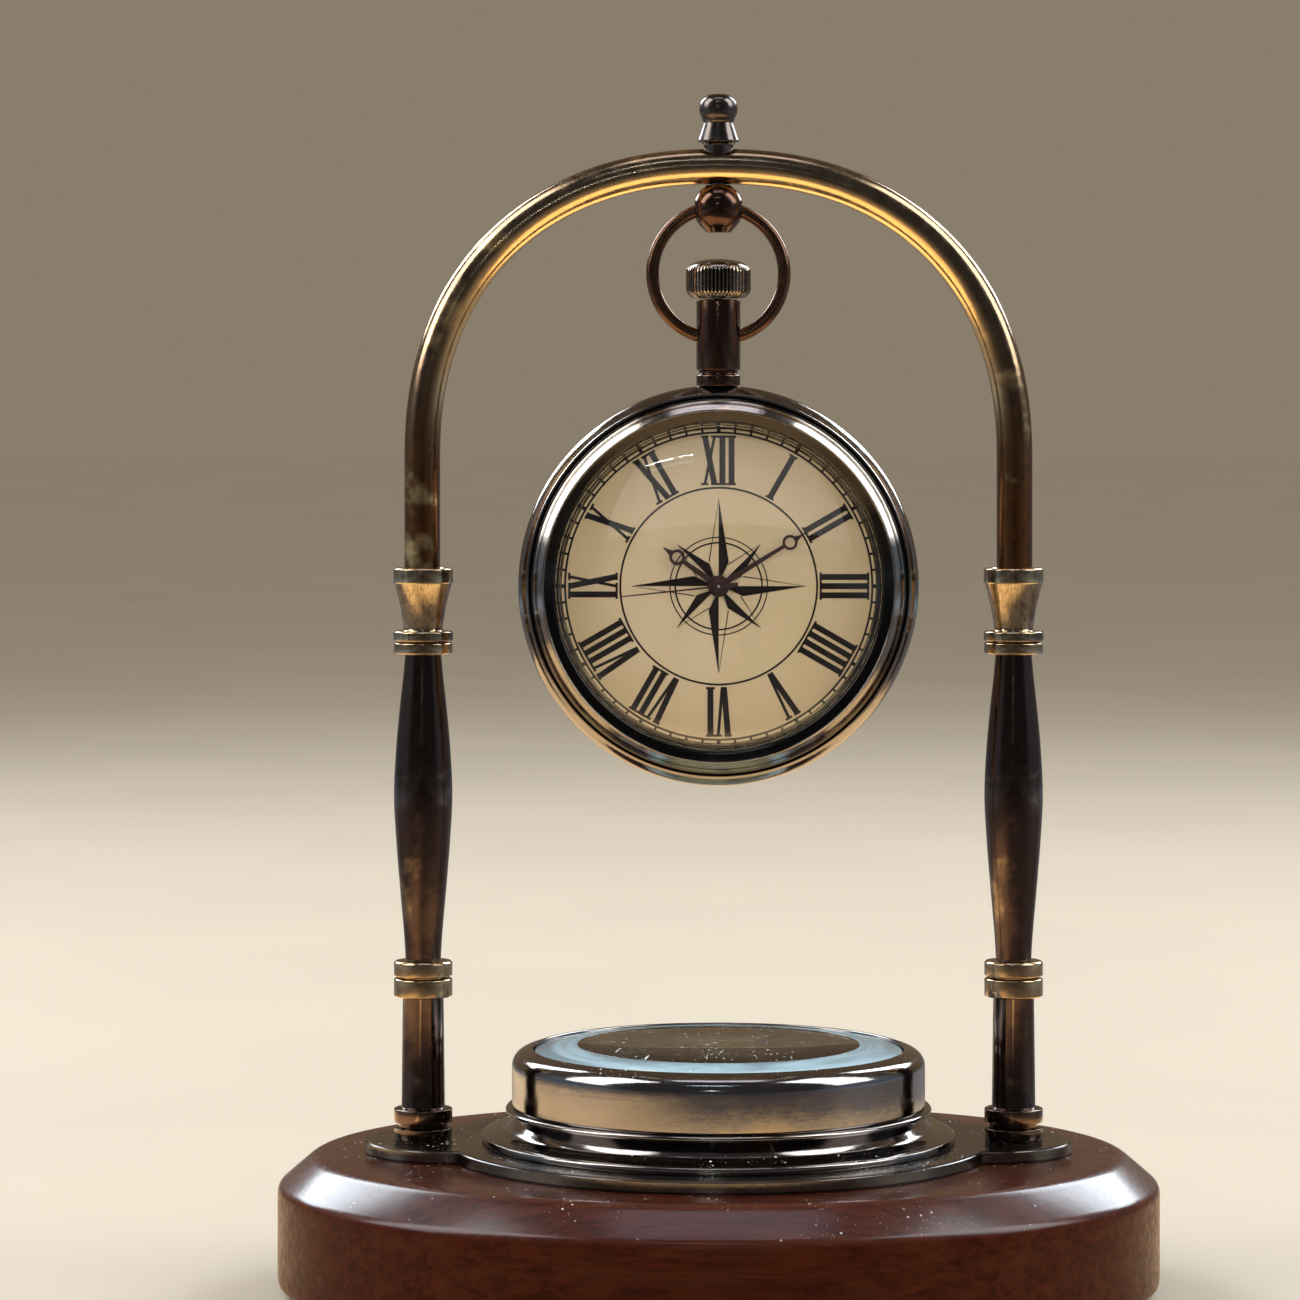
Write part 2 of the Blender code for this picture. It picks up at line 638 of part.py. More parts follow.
def gear_outline(teeth, module, thickness, addendum, dedendum, phase):
    """Pointed teeth. thickness is a root's share of the pitch; phase turns tooth 0, in degrees."""
    pitch_radius = teeth * module / 2
    root, tip = pitch_radius - dedendum * module, pitch_radius + addendum * module
    points = []
    for i in range(teeth):
        for radius, share in ((root, -thickness), (tip, 0), (root, thickness)):
            angle = math.radians(phase + 360 * (i + share / 2) / teeth)
            points.append((radius * math.cos(angle), radius * math.sin(angle)))
    return points


def wheel_outline(teeth, module, phase):
    return gear_outline(teeth, module, 0.62, 0.95, 1.1, phase)


def pinion_outline(module, phase):
    return gear_outline(LEAVES, module, 0.5, 0.85, 1.15, phase)


def gap_phase(teeth, towards):
    """The phase that puts a gap, not a tooth, in this direction."""
    return towards + 180 / teeth


def polar(distance, angle):
    return (distance * math.cos(math.radians(angle)), distance * math.sin(math.radians(angle)))


def build_train(watch):
    """Seconds to centre wheel, 60 to 1, behind the main plate, and the motion work, 12 to 1, before it."""
    brass = worn_brass()
    third_module = 2 * TRAIN_DISTANCE / (THIRD_TEETH + LEAVES)
    centre_module = 2 * TRAIN_DISTANCE / (CENTRE_TEETH + LEAVES)
    cannon_module = 2 * MOTION_DISTANCE / (MINUTE_TEETH + LEAVES)
    hour_module = 2 * MOTION_DISTANCE / (HOUR_TEETH + LEAVES)
    third_at = (*polar(TRAIN_DISTANCE, THIRD_ANGLE), 0)
    minute_at = (*polar(MOTION_DISTANCE, MINUTE_WHEEL_ANGLE), 0)
    seconds_radius, cannon_bore, cannon_radius = 0.2, 0.3, 0.5

    arbor = cylinder("seconds_wheel", seconds_radius, -2.3, 3.62, steel(), 8, parent=watch)
    leaves = pinion_outline(third_module, THIRD_ANGLE)
    join(arbor, prism("seconds_leaves", leaves, -1.25, -0.7, steel(), parent=watch))

    third = prism(
        "third_wheel",
        wheel_outline(THIRD_TEETH, third_module, gap_phase(THIRD_TEETH, THIRD_ANGLE + 180)),
        -1.15,
        -0.8,
        brass,
        at=third_at,
        parent=watch,
    )
    third_arbor = cylinder("third_arbor", 0.25, -2.2, 0.55, facets=8, at=third_at, parent=watch)
    leaves = pinion_outline(centre_module, THIRD_ANGLE + 180)
    third_leaves = prism("third_leaves", leaves, -0.82, -0.15, brass, at=third_at, parent=watch)
    join(third, third_leaves, third_arbor)

    centre = prism(
        "centre_wheel",
        wheel_outline(CENTRE_TEETH, centre_module, gap_phase(CENTRE_TEETH, THIRD_ANGLE)),
        -0.55,
        -0.2,
        brass,
        parent=watch,
    )
    cannon_leaves = prism(
        "cannon_leaves", pinion_outline(cannon_module, MINUTE_WHEEL_ANGLE), 0.85, 1.35, brass, parent=watch
    )
    cannon = cylinder("cannon_tube", cannon_radius, -0.56, 3.28, facets=SMALL_ROUND, parent=watch)
    cannon_hole = cylinder("cannon_hole", cannon_bore, -2, 5, facets=SMALL_ROUND, parent=watch)
    cut(join(centre, cannon, cannon_leaves), cannon_hole)

    minute = prism(
        "minute_wheel",
        wheel_outline(MINUTE_TEETH, cannon_module, gap_phase(MINUTE_TEETH, MINUTE_WHEEL_ANGLE + 180)),
        0.9,
        1.3,
        brass,
        at=minute_at,
        parent=watch,
    )
    leaves = pinion_outline(hour_module, MINUTE_WHEEL_ANGLE + 180)
    minute_leaves = prism("minute_leaves", leaves, 1.28, 1.95, brass, at=minute_at, parent=watch)
    minute_hole = cylinder("minute_hole", 0.3, 0, 3, facets=8, at=minute_at, parent=watch)
    cut(join(minute, minute_leaves), minute_hole)

    hour = prism(
        "hour_wheel",
        wheel_outline(HOUR_TEETH, hour_module, gap_phase(HOUR_TEETH, MINUTE_WHEEL_ANGLE)),
        1.5,
        1.85,
        brass,
        parent=watch,
    )
    pipe = cylinder("hour_pipe", 0.9, 1.6, 2.92, facets=SMALL_ROUND, parent=watch)
    pipe_hole = cylinder("pipe_hole", cannon_radius + RUNNING_GAP, 0, 5, facets=SMALL_ROUND, parent=watch)
    cut(join(hour, pipe), pipe_hole)
    return third_at, minute_at


def build_movement(watch):
    """A quartz movement: a plate and a bridge with the train between, coil, circuit, cell and its clip."""
    holder = [(13.0, -3.3), (21.1, -3.3), (21.1, -2.45), (22.2, -2.45), (22.2, 2.0), (13.0, 2.0)]
    holder = turned("movement_holder", holder, black_plastic(), 24, ring=True, parent=watch)
    stem_slot = cylinder("holder_stem_way", 0.9, 11, 24, facets=8, rotation=(-90, 0, 0), parent=watch)
    cut(holder, stem_slot)
    third_at, minute_at = build_train(watch)

    plate = cylinder("main_plate", 12.7, 0.0, 0.7, worn_brass(), 24, parent=watch)
    cut(plate, cylinder("plate_centre", 0.62, -1, 2, facets=SMALL_ROUND, parent=watch))
    cut(plate, cylinder("plate_third", 0.33, -1, 2, facets=8, at=third_at, parent=watch))
    keyway = [(-0.8, 8.8), (0.8, 8.8), (0.8, 14), (-0.8, 14)]
    cut(plate, prism("stem_notch", keyway, -1, 2, steel(), parent=watch))
    stud = cylinder("minute_stud", 0.2, 0.5, 1.9, facets=8, at=minute_at, parent=watch)
    join(plate, stud)
    pillars = [(-8.5, 2.5), (7.5, -6.5)]
    for i, (x, y) in enumerate(pillars):
        join(plate, cylinder(f"pillar_{i}", 0.9, -1.65, 0.2, facets=SMALL_ROUND, at=(x, y, 0), parent=watch))
        cut(plate, cylinder(f"pillar_bore_{i}", 0.5, -3, -0.4, facets=8, at=(x, y, 0), parent=watch))

    outline = [(-10, 0.2), (-8, 5), (3, 3), (9, -4.5), (8, -8.6), (-3, -6)]
    bridge = prism("train_bridge", outline, -2.2, -1.7, steel(), parent=watch)
    cut(bridge, cylinder("bridge_seconds", 0.27, -3, 0, facets=8, parent=watch))
    cut(bridge, cylinder("bridge_third", 0.33, -3, 0, facets=8, at=third_at, parent=watch))
    for i, (x, y) in enumerate(pillars):
        cut(bridge, cylinder(f"bridge_hole_{i}", 0.5, -3, 0, facets=8, at=(x, y, 0), parent=watch))
        screw = [(0, -2.75), (0.95, -2.75), (0.95, -2.22), (0.4, -2.22), (0.4, -0.6), (0, -0.6)]
        turned(f"bridge_screw_{i + 1}", screw, steel(), 10, at=(x, y, 0), parent=watch)

    cell_at = (5.6, 6.3, 0)
    cell = [(0, -2.7), (3.1, -2.7), (3.1, -2.5), (3.4, -2.4), (3.4, -0.2), (0, -0.2)]
    turned("button_cell", cell, steel(), COLUMN_ROUND, at=cell_at, parent=watch)
    clip = [(1.5, 5.4), (9.3, 5.4), (9.3, 7.2), (1.5, 7.2)]
    prism("battery_clip", clip, -3.0, -2.78, steel(), parent=watch)
    coil = [(-10.5, -6.8), (-8.2, -8.8), (-3.2, -8.8), (-3.2, -6.8)]
    copper = material("coil_copper", (0.5, 0.2, 0.08), 0.4, 0.8)
    prism("stepping_motor", coil, -2.0, -0.1, copper, parent=watch)
    board = [(-9, 5.5), (-6.5, 9.5), (-2, 10.5), (-1, 6.3)]
    prism("circuit_board", board, -0.7, -0.1, material("board_green", (0.02, 0.12, 0.05), 0.5), parent=watch)


# ---------------------------------------------------------------- hands


def hand_outline(reach, hub, tail, root_width, neck_width, eye_at, eye_radius):
    """A tapered blade with a moon near its end and a fine point, drawn towards 12 o'clock about its arbor."""
    right = [(root_width, hub * 0.8), (neck_width, eye_at - eye_radius)]
    right += turn_points(eye_radius, -70, 60, 5, (0, eye_at))
    right += [(neck_width * 0.9, eye_at + eye_radius * 1.25)]
    left = [(-x, y) for x, y in reversed(right)]
    foot = turn_points(hub, 125, 415, 8) if tail == 0 else [(-root_width, -tail), (root_width, -tail)]
    return right + [(0, reach)] + left + foot


def build_hands(watch):
    hours, minutes, seconds = SHOWN_TIME
    second_turn = 6 * seconds
    minute_turn = 6 * (minutes + seconds / 60)
    hour_turn = 30 * (hours % 12) + minute_turn / 12
    hour_axis = empty("hour_axis", rotation=(0, 0, -hour_turn), parent=watch)
    minute_axis = empty("minute_axis", rotation=(0, 0, -minute_turn), parent=watch)
    second_axis = empty("second_axis", rotation=(0, 0, -second_turn), parent=watch)

    blade = hand_outline(8.4, 1.3, 0, 0.42, 0.22, 6.3, 1.0)
    hour = prism("hour_hand", blade, 2.72, 2.86, hand_paint(), parent=hour_axis)
    cut(hour, cylinder("hour_moon", 0.62, 2, 4, facets=SMALL_ROUND, at=(0, 6.3, 0), parent=hour_axis))
    cut(hour, cylinder("hour_bush", 0.96, 2, 4, facets=SMALL_ROUND, parent=hour_axis))
    blade = hand_outline(12.6, 1.1, 0, 0.4, 0.2, 10.4, 0.95)
    minute = prism("minute_hand", blade, 3.06, 3.2, hand_paint(), parent=minute_axis)
    cut(minute, cylinder("minute_moon", 0.58, 2, 4, facets=SMALL_ROUND, at=(0, 10.4, 0), parent=minute_axis))
    cut(minute, cylinder("minute_bush", 0.57, 2, 4, facets=SMALL_ROUND, parent=minute_axis))
    blade = [(0.08, 12.2), (-0.08, 12.2), (-0.12, -0.6), (-0.25, -0.8), (-0.25, -2.4), (0.25, -2.4)]
    blade += [(0.25, -0.8), (0.12, -0.6)]
    second = prism("second_hand", blade, 3.42, 3.54, hand_paint(), parent=second_axis)
    join(second, cylinder("second_boss", 0.7, 3.4, 3.58, facets=SMALL_ROUND, parent=second_axis))
    cut(second, cylinder("second_bush", 0.26, 3, 4, facets=8, parent=second_axis))


def main():
    clear_scene()
    build_base()
    build_plate()
    build_column("left", -COLUMN_X)
    build_column("right", COLUMN_X)
    build_arch()
    build_hanger()
    build_bow()
    build_compass()
    watch = empty("watch_axis", at=(0, 0, CASE_Z), rotation=(90, 0, 0))
    build_case(watch)
    build_pendant()
    build_crown()
    build_movement(watch)
    build_hands(watch)


main()
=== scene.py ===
"""The looks of the ship's deck clock: turned antique brass, lacquered mahogany, a printed dial and glass.

Lengths are millimetres unless a line says otherwise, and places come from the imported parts' boxes. Turned
pieces are modelled about their own Z axis, so a material can read radius and height from object coordinates.
The watch's pieces are turned to face -Y.
"""

import json
import math

import bmesh
import bpy
from mathutils import Matrix, Vector


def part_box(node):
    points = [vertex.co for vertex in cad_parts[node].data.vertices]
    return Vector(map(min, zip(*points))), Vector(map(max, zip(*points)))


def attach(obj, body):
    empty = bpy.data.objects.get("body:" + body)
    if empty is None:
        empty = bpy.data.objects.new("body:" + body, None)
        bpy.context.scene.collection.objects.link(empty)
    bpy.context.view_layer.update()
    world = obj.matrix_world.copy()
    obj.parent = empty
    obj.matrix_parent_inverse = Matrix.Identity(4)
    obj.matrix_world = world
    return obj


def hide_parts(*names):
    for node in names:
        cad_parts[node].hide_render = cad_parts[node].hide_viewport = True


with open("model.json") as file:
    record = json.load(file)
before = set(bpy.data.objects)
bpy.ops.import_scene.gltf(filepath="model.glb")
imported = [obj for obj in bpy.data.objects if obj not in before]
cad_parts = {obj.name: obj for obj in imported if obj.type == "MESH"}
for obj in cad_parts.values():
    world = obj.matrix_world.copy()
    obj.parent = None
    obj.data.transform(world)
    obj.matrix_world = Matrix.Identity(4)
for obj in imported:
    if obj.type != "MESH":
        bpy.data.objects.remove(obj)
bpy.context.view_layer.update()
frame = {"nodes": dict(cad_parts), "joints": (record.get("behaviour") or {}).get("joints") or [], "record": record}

MM = 0.001
UPRIGHT = (0, 0, 0)
FACING_FRONT = (90, 0, 0)


# ---------------- places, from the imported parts


class Box:
    """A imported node's box, in millimetres."""

    def __init__(self, node):
        low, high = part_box(node)
        self.low, self.high = Vector(low) / MM, Vector(high) / MM
        self.centre = (self.low + self.high) / 2
        self.size = self.high - self.low


def joint(name):
    return next(item for item in frame["joints"] if item["name"] == name)


BASE = Box("wooden_base")
PLATE = Box("base_plate")
ARCH = Box("arch")
CASE = Box("case_middle")
BEZEL = Box("case_bezel")
PENDANT = Box("pendant")
CROWN = Box("crown")
BEAD = Box("hanger_bead")
FINIAL = Box("finial")
BOW = Box("bow")
COMPASS = Box("compass_body")
COMPASS_RIM = Box("compass_bezel")
CARD = Box("compass_dial")
DIAL = Box("dial")

WATCH_AT = (CASE.centre.x, 0, CASE.centre.z)
ON_WATCH = {"at": WATCH_AT, "turn": FACING_FRONT}
CASE_RADIUS = CASE.size.x / 2
DIAL_FRONT = -DIAL.low.y
BOW_PIVOT_Z = joint("watch_swing")["pos_m"][2] / MM
BOW_HOLE_Z = joint("bow_swing")["pos_m"][2] / MM
TUBE_RADIUS = ARCH.size.y / 2
TUBE_UNDERSIDE = ARCH.high.z - 2 * TUBE_RADIUS
SHANK_RADIUS = 0.95
COLUMN_X = ARCH.size.x / 2 - TUBE_RADIUS


# ---------------- mesh tools


def make_piece(
    name, shape, surface, body, replaces=(), slot="antique_brass", at=(0, 0, 0), turn=UPRIGHT, sharp=35
):
    """One mesh from a shape's vertices and faces, placed, shaded smooth and set riding on its body."""
    vertices, faces = shape
    mesh = bpy.data.meshes.new(name)
    mesh.from_pydata([Vector(v) * MM for v in vertices], [], faces)
    bm = bmesh.new()
    bm.from_mesh(mesh)
    bmesh.ops.remove_doubles(bm, verts=bm.verts, dist=1e-8)
    bmesh.ops.recalc_face_normals(bm, faces=bm.faces)
    if bm.calc_volume(signed=True) < 0:
        bmesh.ops.reverse_faces(bm, faces=bm.faces)
    bm.to_mesh(mesh)
    bm.free()
    mesh.materials.append(surface)
    mesh.shade_smooth()
    mesh.set_sharp_from_angle(angle=math.radians(sharp))
    obj = placed(name, mesh, at, turn)
    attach(obj, body)
    if replaces:
        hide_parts(replaces)
    return obj


def placed(name, data, at=(0, 0, 0), turn=UPRIGHT):
    """A new object of the scene, at millimetres and turned by degrees."""
    obj = bpy.data.objects.new(name, data)
    bpy.context.scene.collection.objects.link(obj)
    obj.location = Vector(at) * MM
    obj.rotation_euler = [math.radians(angle) for angle in turn]
    return obj


def rounded(outline, closed=False, radius=0.08, steps=3):
    """Rounds the corners of a (radius, height) outline. A third number on a point is its own rounding."""
    points = [(Vector(p[:2]), p[2] if len(p) > 2 else radius) for p in outline]
    result = []
    for i, (corner, fillet) in enumerate(points):
        inside = closed or 0 < i < len(points) - 1
        if not inside or fillet == 0:
            result.append(tuple(corner))
            continue
        before = points[i - 1][0] - corner
        after = points[(i + 1) % len(points)][0] - corner
        reach = min(fillet, 0.48 * before.length, 0.48 * after.length)
        start, end = corner + before.normalized() * reach, corner + after.normalized() * reach
        for k in range(steps + 1):
            t = k / steps
            result.append(tuple(start * (1 - t) ** 2 + corner * 2 * t * (1 - t) + end * t**2))
    return result


def arc(radius, start, end, steps, centre=(0, 0)):
    angles = [math.radians(start + (end - start) * i / steps) for i in range(steps + 1)]
    return [(centre[0] + radius * math.cos(a), centre[1] + radius * math.sin(a)) for a in angles]


def circle(radius, facets):
    return arc(radius, 0, 360 - 360 / facets, facets - 1)


def smooth(points, steps=6):
    """A Catmull-Rom curve through the points."""
    points = [Vector(p) for p in points]
    ends = [points[0] * 2 - points[1]] + points + [points[-1] * 2 - points[-2]]
    result = []
    for a, b, c, d in zip(ends, ends[1:], ends[2:], ends[3:]):
        for k in range(steps):
            t = k / steps
            square, cube = 2 * a - 5 * b + 4 * c - d, 3 * b - a - 3 * c + d
            result.append(0.5 * (2 * b + (c - a) * t + square * t**2 + cube * t**3))
    return [tuple(p) for p in result] + [tuple(points[-1])]


def skin(loops, closed=False, capped=True):
    """Vertices and faces over a stack of equal loops. closed joins the last loop to the first."""
    count = len(loops[0])
    vertices = [point for loop in loops for point in loop]
    faces = []
    rows = len(loops) if closed else len(loops) - 1
    for j in range(rows):
        low, high = j * count, ((j + 1) % len(loops)) * count
        for i in range(count):
            k = (i + 1) % count
            faces.append((low + i, low + k, high + k, high + i))
    if capped and not closed:
        faces.append(tuple(range(count)))
        faces.append(tuple((len(loops) - 1) * count + i for i in range(count)))
    return vertices, faces


def revolved(outline, facets, closed=False, y=0.0):
    """Vertices and faces of a (radius, height) outline turned about an upright axis."""
    loops = [[(u, y + v, height) for u, v in circle(radius, facets)] for radius, height in outline]
    return skin(loops, closed=closed)


def turned(name, outline, surface, body, facets=96, ring=False, fillet=0.08, **options):
    """A lathe piece. Its outline runs from the axis to the axis, or closes on itself as a ring."""
    profile = [(max(radius, 1e-4), height) for radius, height in rounded(outline, ring, fillet)]
    return make_piece(name, revolved(profile, facets, ring), surface, body, **options)


def prism(outline, low, high, bevel=0.0):
    """Vertices and faces of an extruded outline with its edges bevelled."""
    bm = bmesh.new()
    face = bm.faces.new([bm.verts.new((x, y, low)) for x, y in outline])
    raised = bmesh.ops.extrude_face_region(bm, geom=[face])["geom"]
    corners = [v for v in raised if isinstance(v, bmesh.types.BMVert)]
    bmesh.ops.translate(bm, verts=corners, vec=(0, 0, high - low))
    if bevel:
        flat = [e for e in bm.edges if abs(e.verts[0].co.z - e.verts[1].co.z) < 1e-6]
        bmesh.ops.bevel(bm, geom=flat, offset=bevel, segments=3, affect="EDGES", clamp_overlap=True)
    bm.verts.index_update()
    vertices = [tuple(v.co) for v in bm.verts]
    faces = [tuple(v.index for v in f.verts) for f in bm.faces]
    bm.free()
    return vertices, faces


def merged(*parts):
    vertices, faces = [], []
    for part_vertices, part_faces in parts:
        start = len(vertices)
        vertices += part_vertices
        faces += [tuple(start + i for i in face) for face in part_faces]
    return vertices, faces


def bar(half, start, end, end_half=None):
    """The outline of a bar along Y. It is twice half wide, or tapers to twice end_half."""
    far = half if end_half is None else end_half
    return [(-half, start), (half, start), (far, end), (-far, end)]


def bore(piece, radius, half_length, z, facets):
    """Drills a hole along X through a piece, for good."""
    vertices, faces = revolved([(radius, -half_length), (radius, half_length)], facets)
    mesh = bpy.data.meshes.new("cutter")
    mesh.from_pydata([Vector(v) * MM for v in vertices], [], faces)
    tool = placed("cutter", mesh, (0, 0, z), (0, 90, 0))
    cut = piece.modifiers.new("cut", "BOOLEAN")
    cut.operation, cut.solver, cut.object = "DIFFERENCE", "EXACT", tool
    bpy.context.view_layer.update()
    shaped = bpy.data.meshes.new_from_object(piece.evaluated_get(bpy.context.evaluated_depsgraph_get()))
    piece.modifiers.remove(cut)
    piece.data = shaped
    bpy.data.objects.remove(tool)


def tube(path, radius, facets=32):
    """Vertices and faces of a round tube along points (x, z) in the XZ plane."""
    loops = []
    for i, (x, z) in enumerate(path):
        before, after = path[max(i - 1, 0)], path[min(i + 1, len(path) - 1)]
        along = (Vector(after) - Vector(before)).normalized()
        side = Vector((along.y, -along.x))
        loops.append([(x + side.x * u, v, z + side.y * u) for u, v in circle(radius, facets)])
    return skin(loops)


# ---------------- material tools


class Nodes:
    """A node tree. Each method adds a node, and most return the output that the next one reads."""

    def __init__(self, tree):
        self.tree = tree

    def add(self, kind, inputs=None, **settings):
        node = self.tree.nodes.new(kind)
        for key, value in settings.items():
            setattr(node, key, value)
        for key, value in (inputs or {}).items():
            self.feed(node.inputs[key], value)
        return node

    def feed(self, socket, value):
        if isinstance(value, bpy.types.NodeSocket):
            self.tree.links.new(value, socket)
        elif isinstance(value, tuple) and len(value) == 3 and socket.type == "RGBA":
            socket.default_value = (*value, 1.0)
        else:
            socket.default_value = value

    def calc(self, operation, *values):
        node = self.add("ShaderNodeMath", operation=operation)
        for i, value in enumerate(values):
            self.feed(node.inputs[i], value)
        return node.outputs[0]

    def times(self, first, second):
        return self.calc("MULTIPLY", first, second)

    def blend(self, share, first, second):
        return self.add("ShaderNodeMixShader", inputs={0: share, 1: first, 2: second}).outputs[0]

    def vector(self, operation, inputs):
        return self.add("ShaderNodeVectorMath", operation=operation, inputs=inputs).outputs[0]


class Shader(Nodes):
    """One node material around its main shader."""

    def __init__(self, name):
        self.material = bpy.data.materials.new(name)
        self.material.use_nodes = True
        super().__init__(self.material.node_tree)
        self.bsdf = self.tree.nodes["Principled BSDF"]
        coords = self.add("ShaderNodeTexCoord").outputs["Object"]
        self.place = self.vector("SCALE", {0: coords, "Scale": 1 / MM})

    def set(self, **values):
        """Feeds the main shader's sockets, each named with _ for its spaces."""
        for key, value in values.items():
            self.feed(self.bsdf.inputs[key.replace("_", " ")], value)

    def noise(self, scale, detail=3.0, roughness=0.55, vector=None, distortion=0.0):
        inputs = {"Vector": vector or self.place, "Scale": scale, "Detail": detail}
        inputs.update({"Roughness": roughness, "Distortion": distortion})
        return self.add("ShaderNodeTexNoise", inputs=inputs).outputs["Fac"]

    def cells(self, scale, vector=None):
        inputs = {"Vector": vector or self.place, "Scale": scale}
        return self.add("ShaderNodeTexVoronoi", inputs=inputs).outputs["Distance"]

    def stretch(self, x, y, z):
        return self.vector("MULTIPLY", {0: self.place, 1: (x, y, z)})

    def split(self, vector=None):
        return self.add("ShaderNodeSeparateXYZ", inputs={0: vector or self.place}).outputs

    def radius(self):
        x, y, z = self.split()
        return self.calc("SQRT", self.calc("ADD", self.times(x, x), self.times(y, y)))

    def lathe(self, rings=1.0, around=0.15):
        """A vector that changes quickly across the tool marks of a turned piece and slowly round it."""
        x, y, z = self.split()
        turn = self.calc("COSINE", self.calc("ARCTAN2", y, x))
        inputs = {0: self.times(self.radius(), rings), 1: self.times(z, rings), 2: self.times(turn, around)}
        return self.add("ShaderNodeCombineXYZ", inputs=inputs).outputs[0]

    def step(self, value, low, high, start=0.0, end=1.0):
        inputs = {"Value": value, "From Min": low, "From Max": high, "To Min": start, "To Max": end}
        return self.add("ShaderNodeMapRange", interpolation_type="SMOOTHSTEP", inputs=inputs).outputs[0]

    def within(self, value, low, high, edge):
        """1 where a value lies between two others, with a soft edge."""
        return self.times(self.step(value, low - edge, low), self.step(value, high, high + edge, 1.0, 0.0))

    def mix(self, share, first, second):
        node = self.add("ShaderNodeMix", data_type="RGBA")
        self.feed(node.inputs["Factor"], share)
        self.feed(node.inputs[6], first)
        self.feed(node.inputs[7], second)
        return node.outputs[2]

    def edges(self, low=0.51, high=0.58):
        """1 on worn outer edges, from how convex the surface is."""
        return self.step(self.add("ShaderNodeNewGeometry").outputs["Pointiness"], low, high)

    def upward(self, low=0.5, high=0.9, start=0.0):
        """1 on what faces up, from the height of the surface's normal."""
        normal = self.add("ShaderNodeNewGeometry").outputs["Normal"]
        return self.step(self.split(normal)["Z"], low, high, start)

    def bump(self, height, depth, normal=None):
        """depth is how high the bumps are, in millimetres."""
        inputs = {"Height": height, "Distance": depth * MM, "Strength": 1.0}
        if normal:
            inputs["Normal"] = normal
        return self.add("ShaderNodeBump", inputs=inputs).outputs[0]

    def dust(self, amount=1.0):
        """Specks of pale dust that lie on what faces up."""
        specks = self.step(self.cells(0.7), 0.13, 0.08)
        fine = self.step(self.cells(1.9, self.stretch(1, 1.3, 1)), 0.12, 0.07)
        patches = self.step(self.noise(0.12), 0.48, 0.6)
        lying = self.times(self.calc("MAXIMUM", specks, fine), patches)
        return self.times(self.times(lying, self.upward()), amount)


# ---------------- materials


def scaled(colour, share):
    """A colour made darker or paler."""
    return tuple(min(1.0, c * share) for c in colour)


def brass(
    name, dark, worn, amount, gloss=0.2, patch=0.14, turned_marks=True, brushed=False, pitted=0.7, dusty=0.0,
    bands=(), shaded=(), painted_reflection_below=0.0, higher=None,
):
    """Chemically darkened brass, rubbed back to a warmer colour in patches and along edges.

    amount is how much is rubbed, and patch the scale of the patches. bands are ranges of height that are
    rubbed bright. painted_reflection_below is how strongly what faces down takes the rubbed colour, a painted
    reflection of a warm floor. shaded are rings (inner radius, outer radius, share) of painted shade, darkened
    nearly to black. higher is a height and the patina's colour above it.
    """
    s = Shader(name)
    marks = s.lathe(9.0) if turned_marks else s.stretch(6, 6, 1)
    streaks = (0.15, 0.6, 0.55, 1.0)
    if brushed:
        marks = s.stretch(7, 7, 0.05)
        streaks = (0.3, 0.6, 0.1, 1.0)
    fine = s.noise(1.0, 4, 0.7, marks)
    broad = s.noise(0.22, 3, 0.6, s.lathe(1.0, 2.0) if turned_marks else None)
    clouds = s.noise(patch, 4, 0.6, distortion=0.4)
    uneven = s.calc("ADD", clouds, s.times(s.calc("SUBTRACT", broad, 0.5), 0.5))
    rubbed = s.times(s.step(uneven, 0.66 - amount, 0.82 - amount), s.step(fine, *streaks))
    rubbed = s.calc("MAXIMUM", rubbed, s.times(s.edges(), 0.75))
    height = s.split()["Z"]
    for low, high in bands:
        bright = s.times(s.within(height, low, high, 0.1), s.step(clouds, 0.2, 0.5, 0.75, 1.0))
        rubbed = s.calc("MAXIMUM", rubbed, bright)
    # Painted reflection: what faces down takes the rubbed colour in place of a warm floor mirrored in the metal,
    # so from here rubbed holds wear and this painted reflection.
    if painted_reflection_below:
        rubbed = s.calc("MAXIMUM", rubbed, s.times(s.upward(0.02, -0.3), painted_reflection_below))
    patina = dark
    if higher:
        patina = s.mix(s.step(height, higher[0] - 15, higher[0] + 15), dark, higher[1])
    colour = s.mix(rubbed, patina, worn)
    pits = s.step(s.noise(2.6, 5, 0.7), 0.68, 0.78)
    colour = s.mix(s.times(pits, pitted), colour, scaled(dark, 0.3))
    # Painted shade: each ring of radius is darkened towards a tenth of the patina's colour.
    for inner, outer, share in shaded:
        colour = s.mix(s.times(s.within(s.radius(), inner, outer, 0.04), share), colour, scaled(dark, 0.1))
    smears = s.step(s.noise(0.6, 5, 0.65), 0.3, 0.75, gloss * 0.75, gloss * 1.5)
    rough = s.calc("ADD", smears, s.times(pits, 0.2))
    metal = 1.0
    if dusty:
        lying = s.dust(dusty)
        colour = s.mix(lying, colour, (0.7, 0.68, 0.64))
        rough = s.calc("MAXIMUM", rough, lying)
        metal = s.calc("SUBTRACT", 1.0, lying)
    relief = s.bump(s.noise(0.45, 3, 0.5), 0.02, s.bump(fine, 0.004))
    s.set(Base_Color=colour, Metallic=metal, Roughness=rough, Normal=relief)
    return s.material


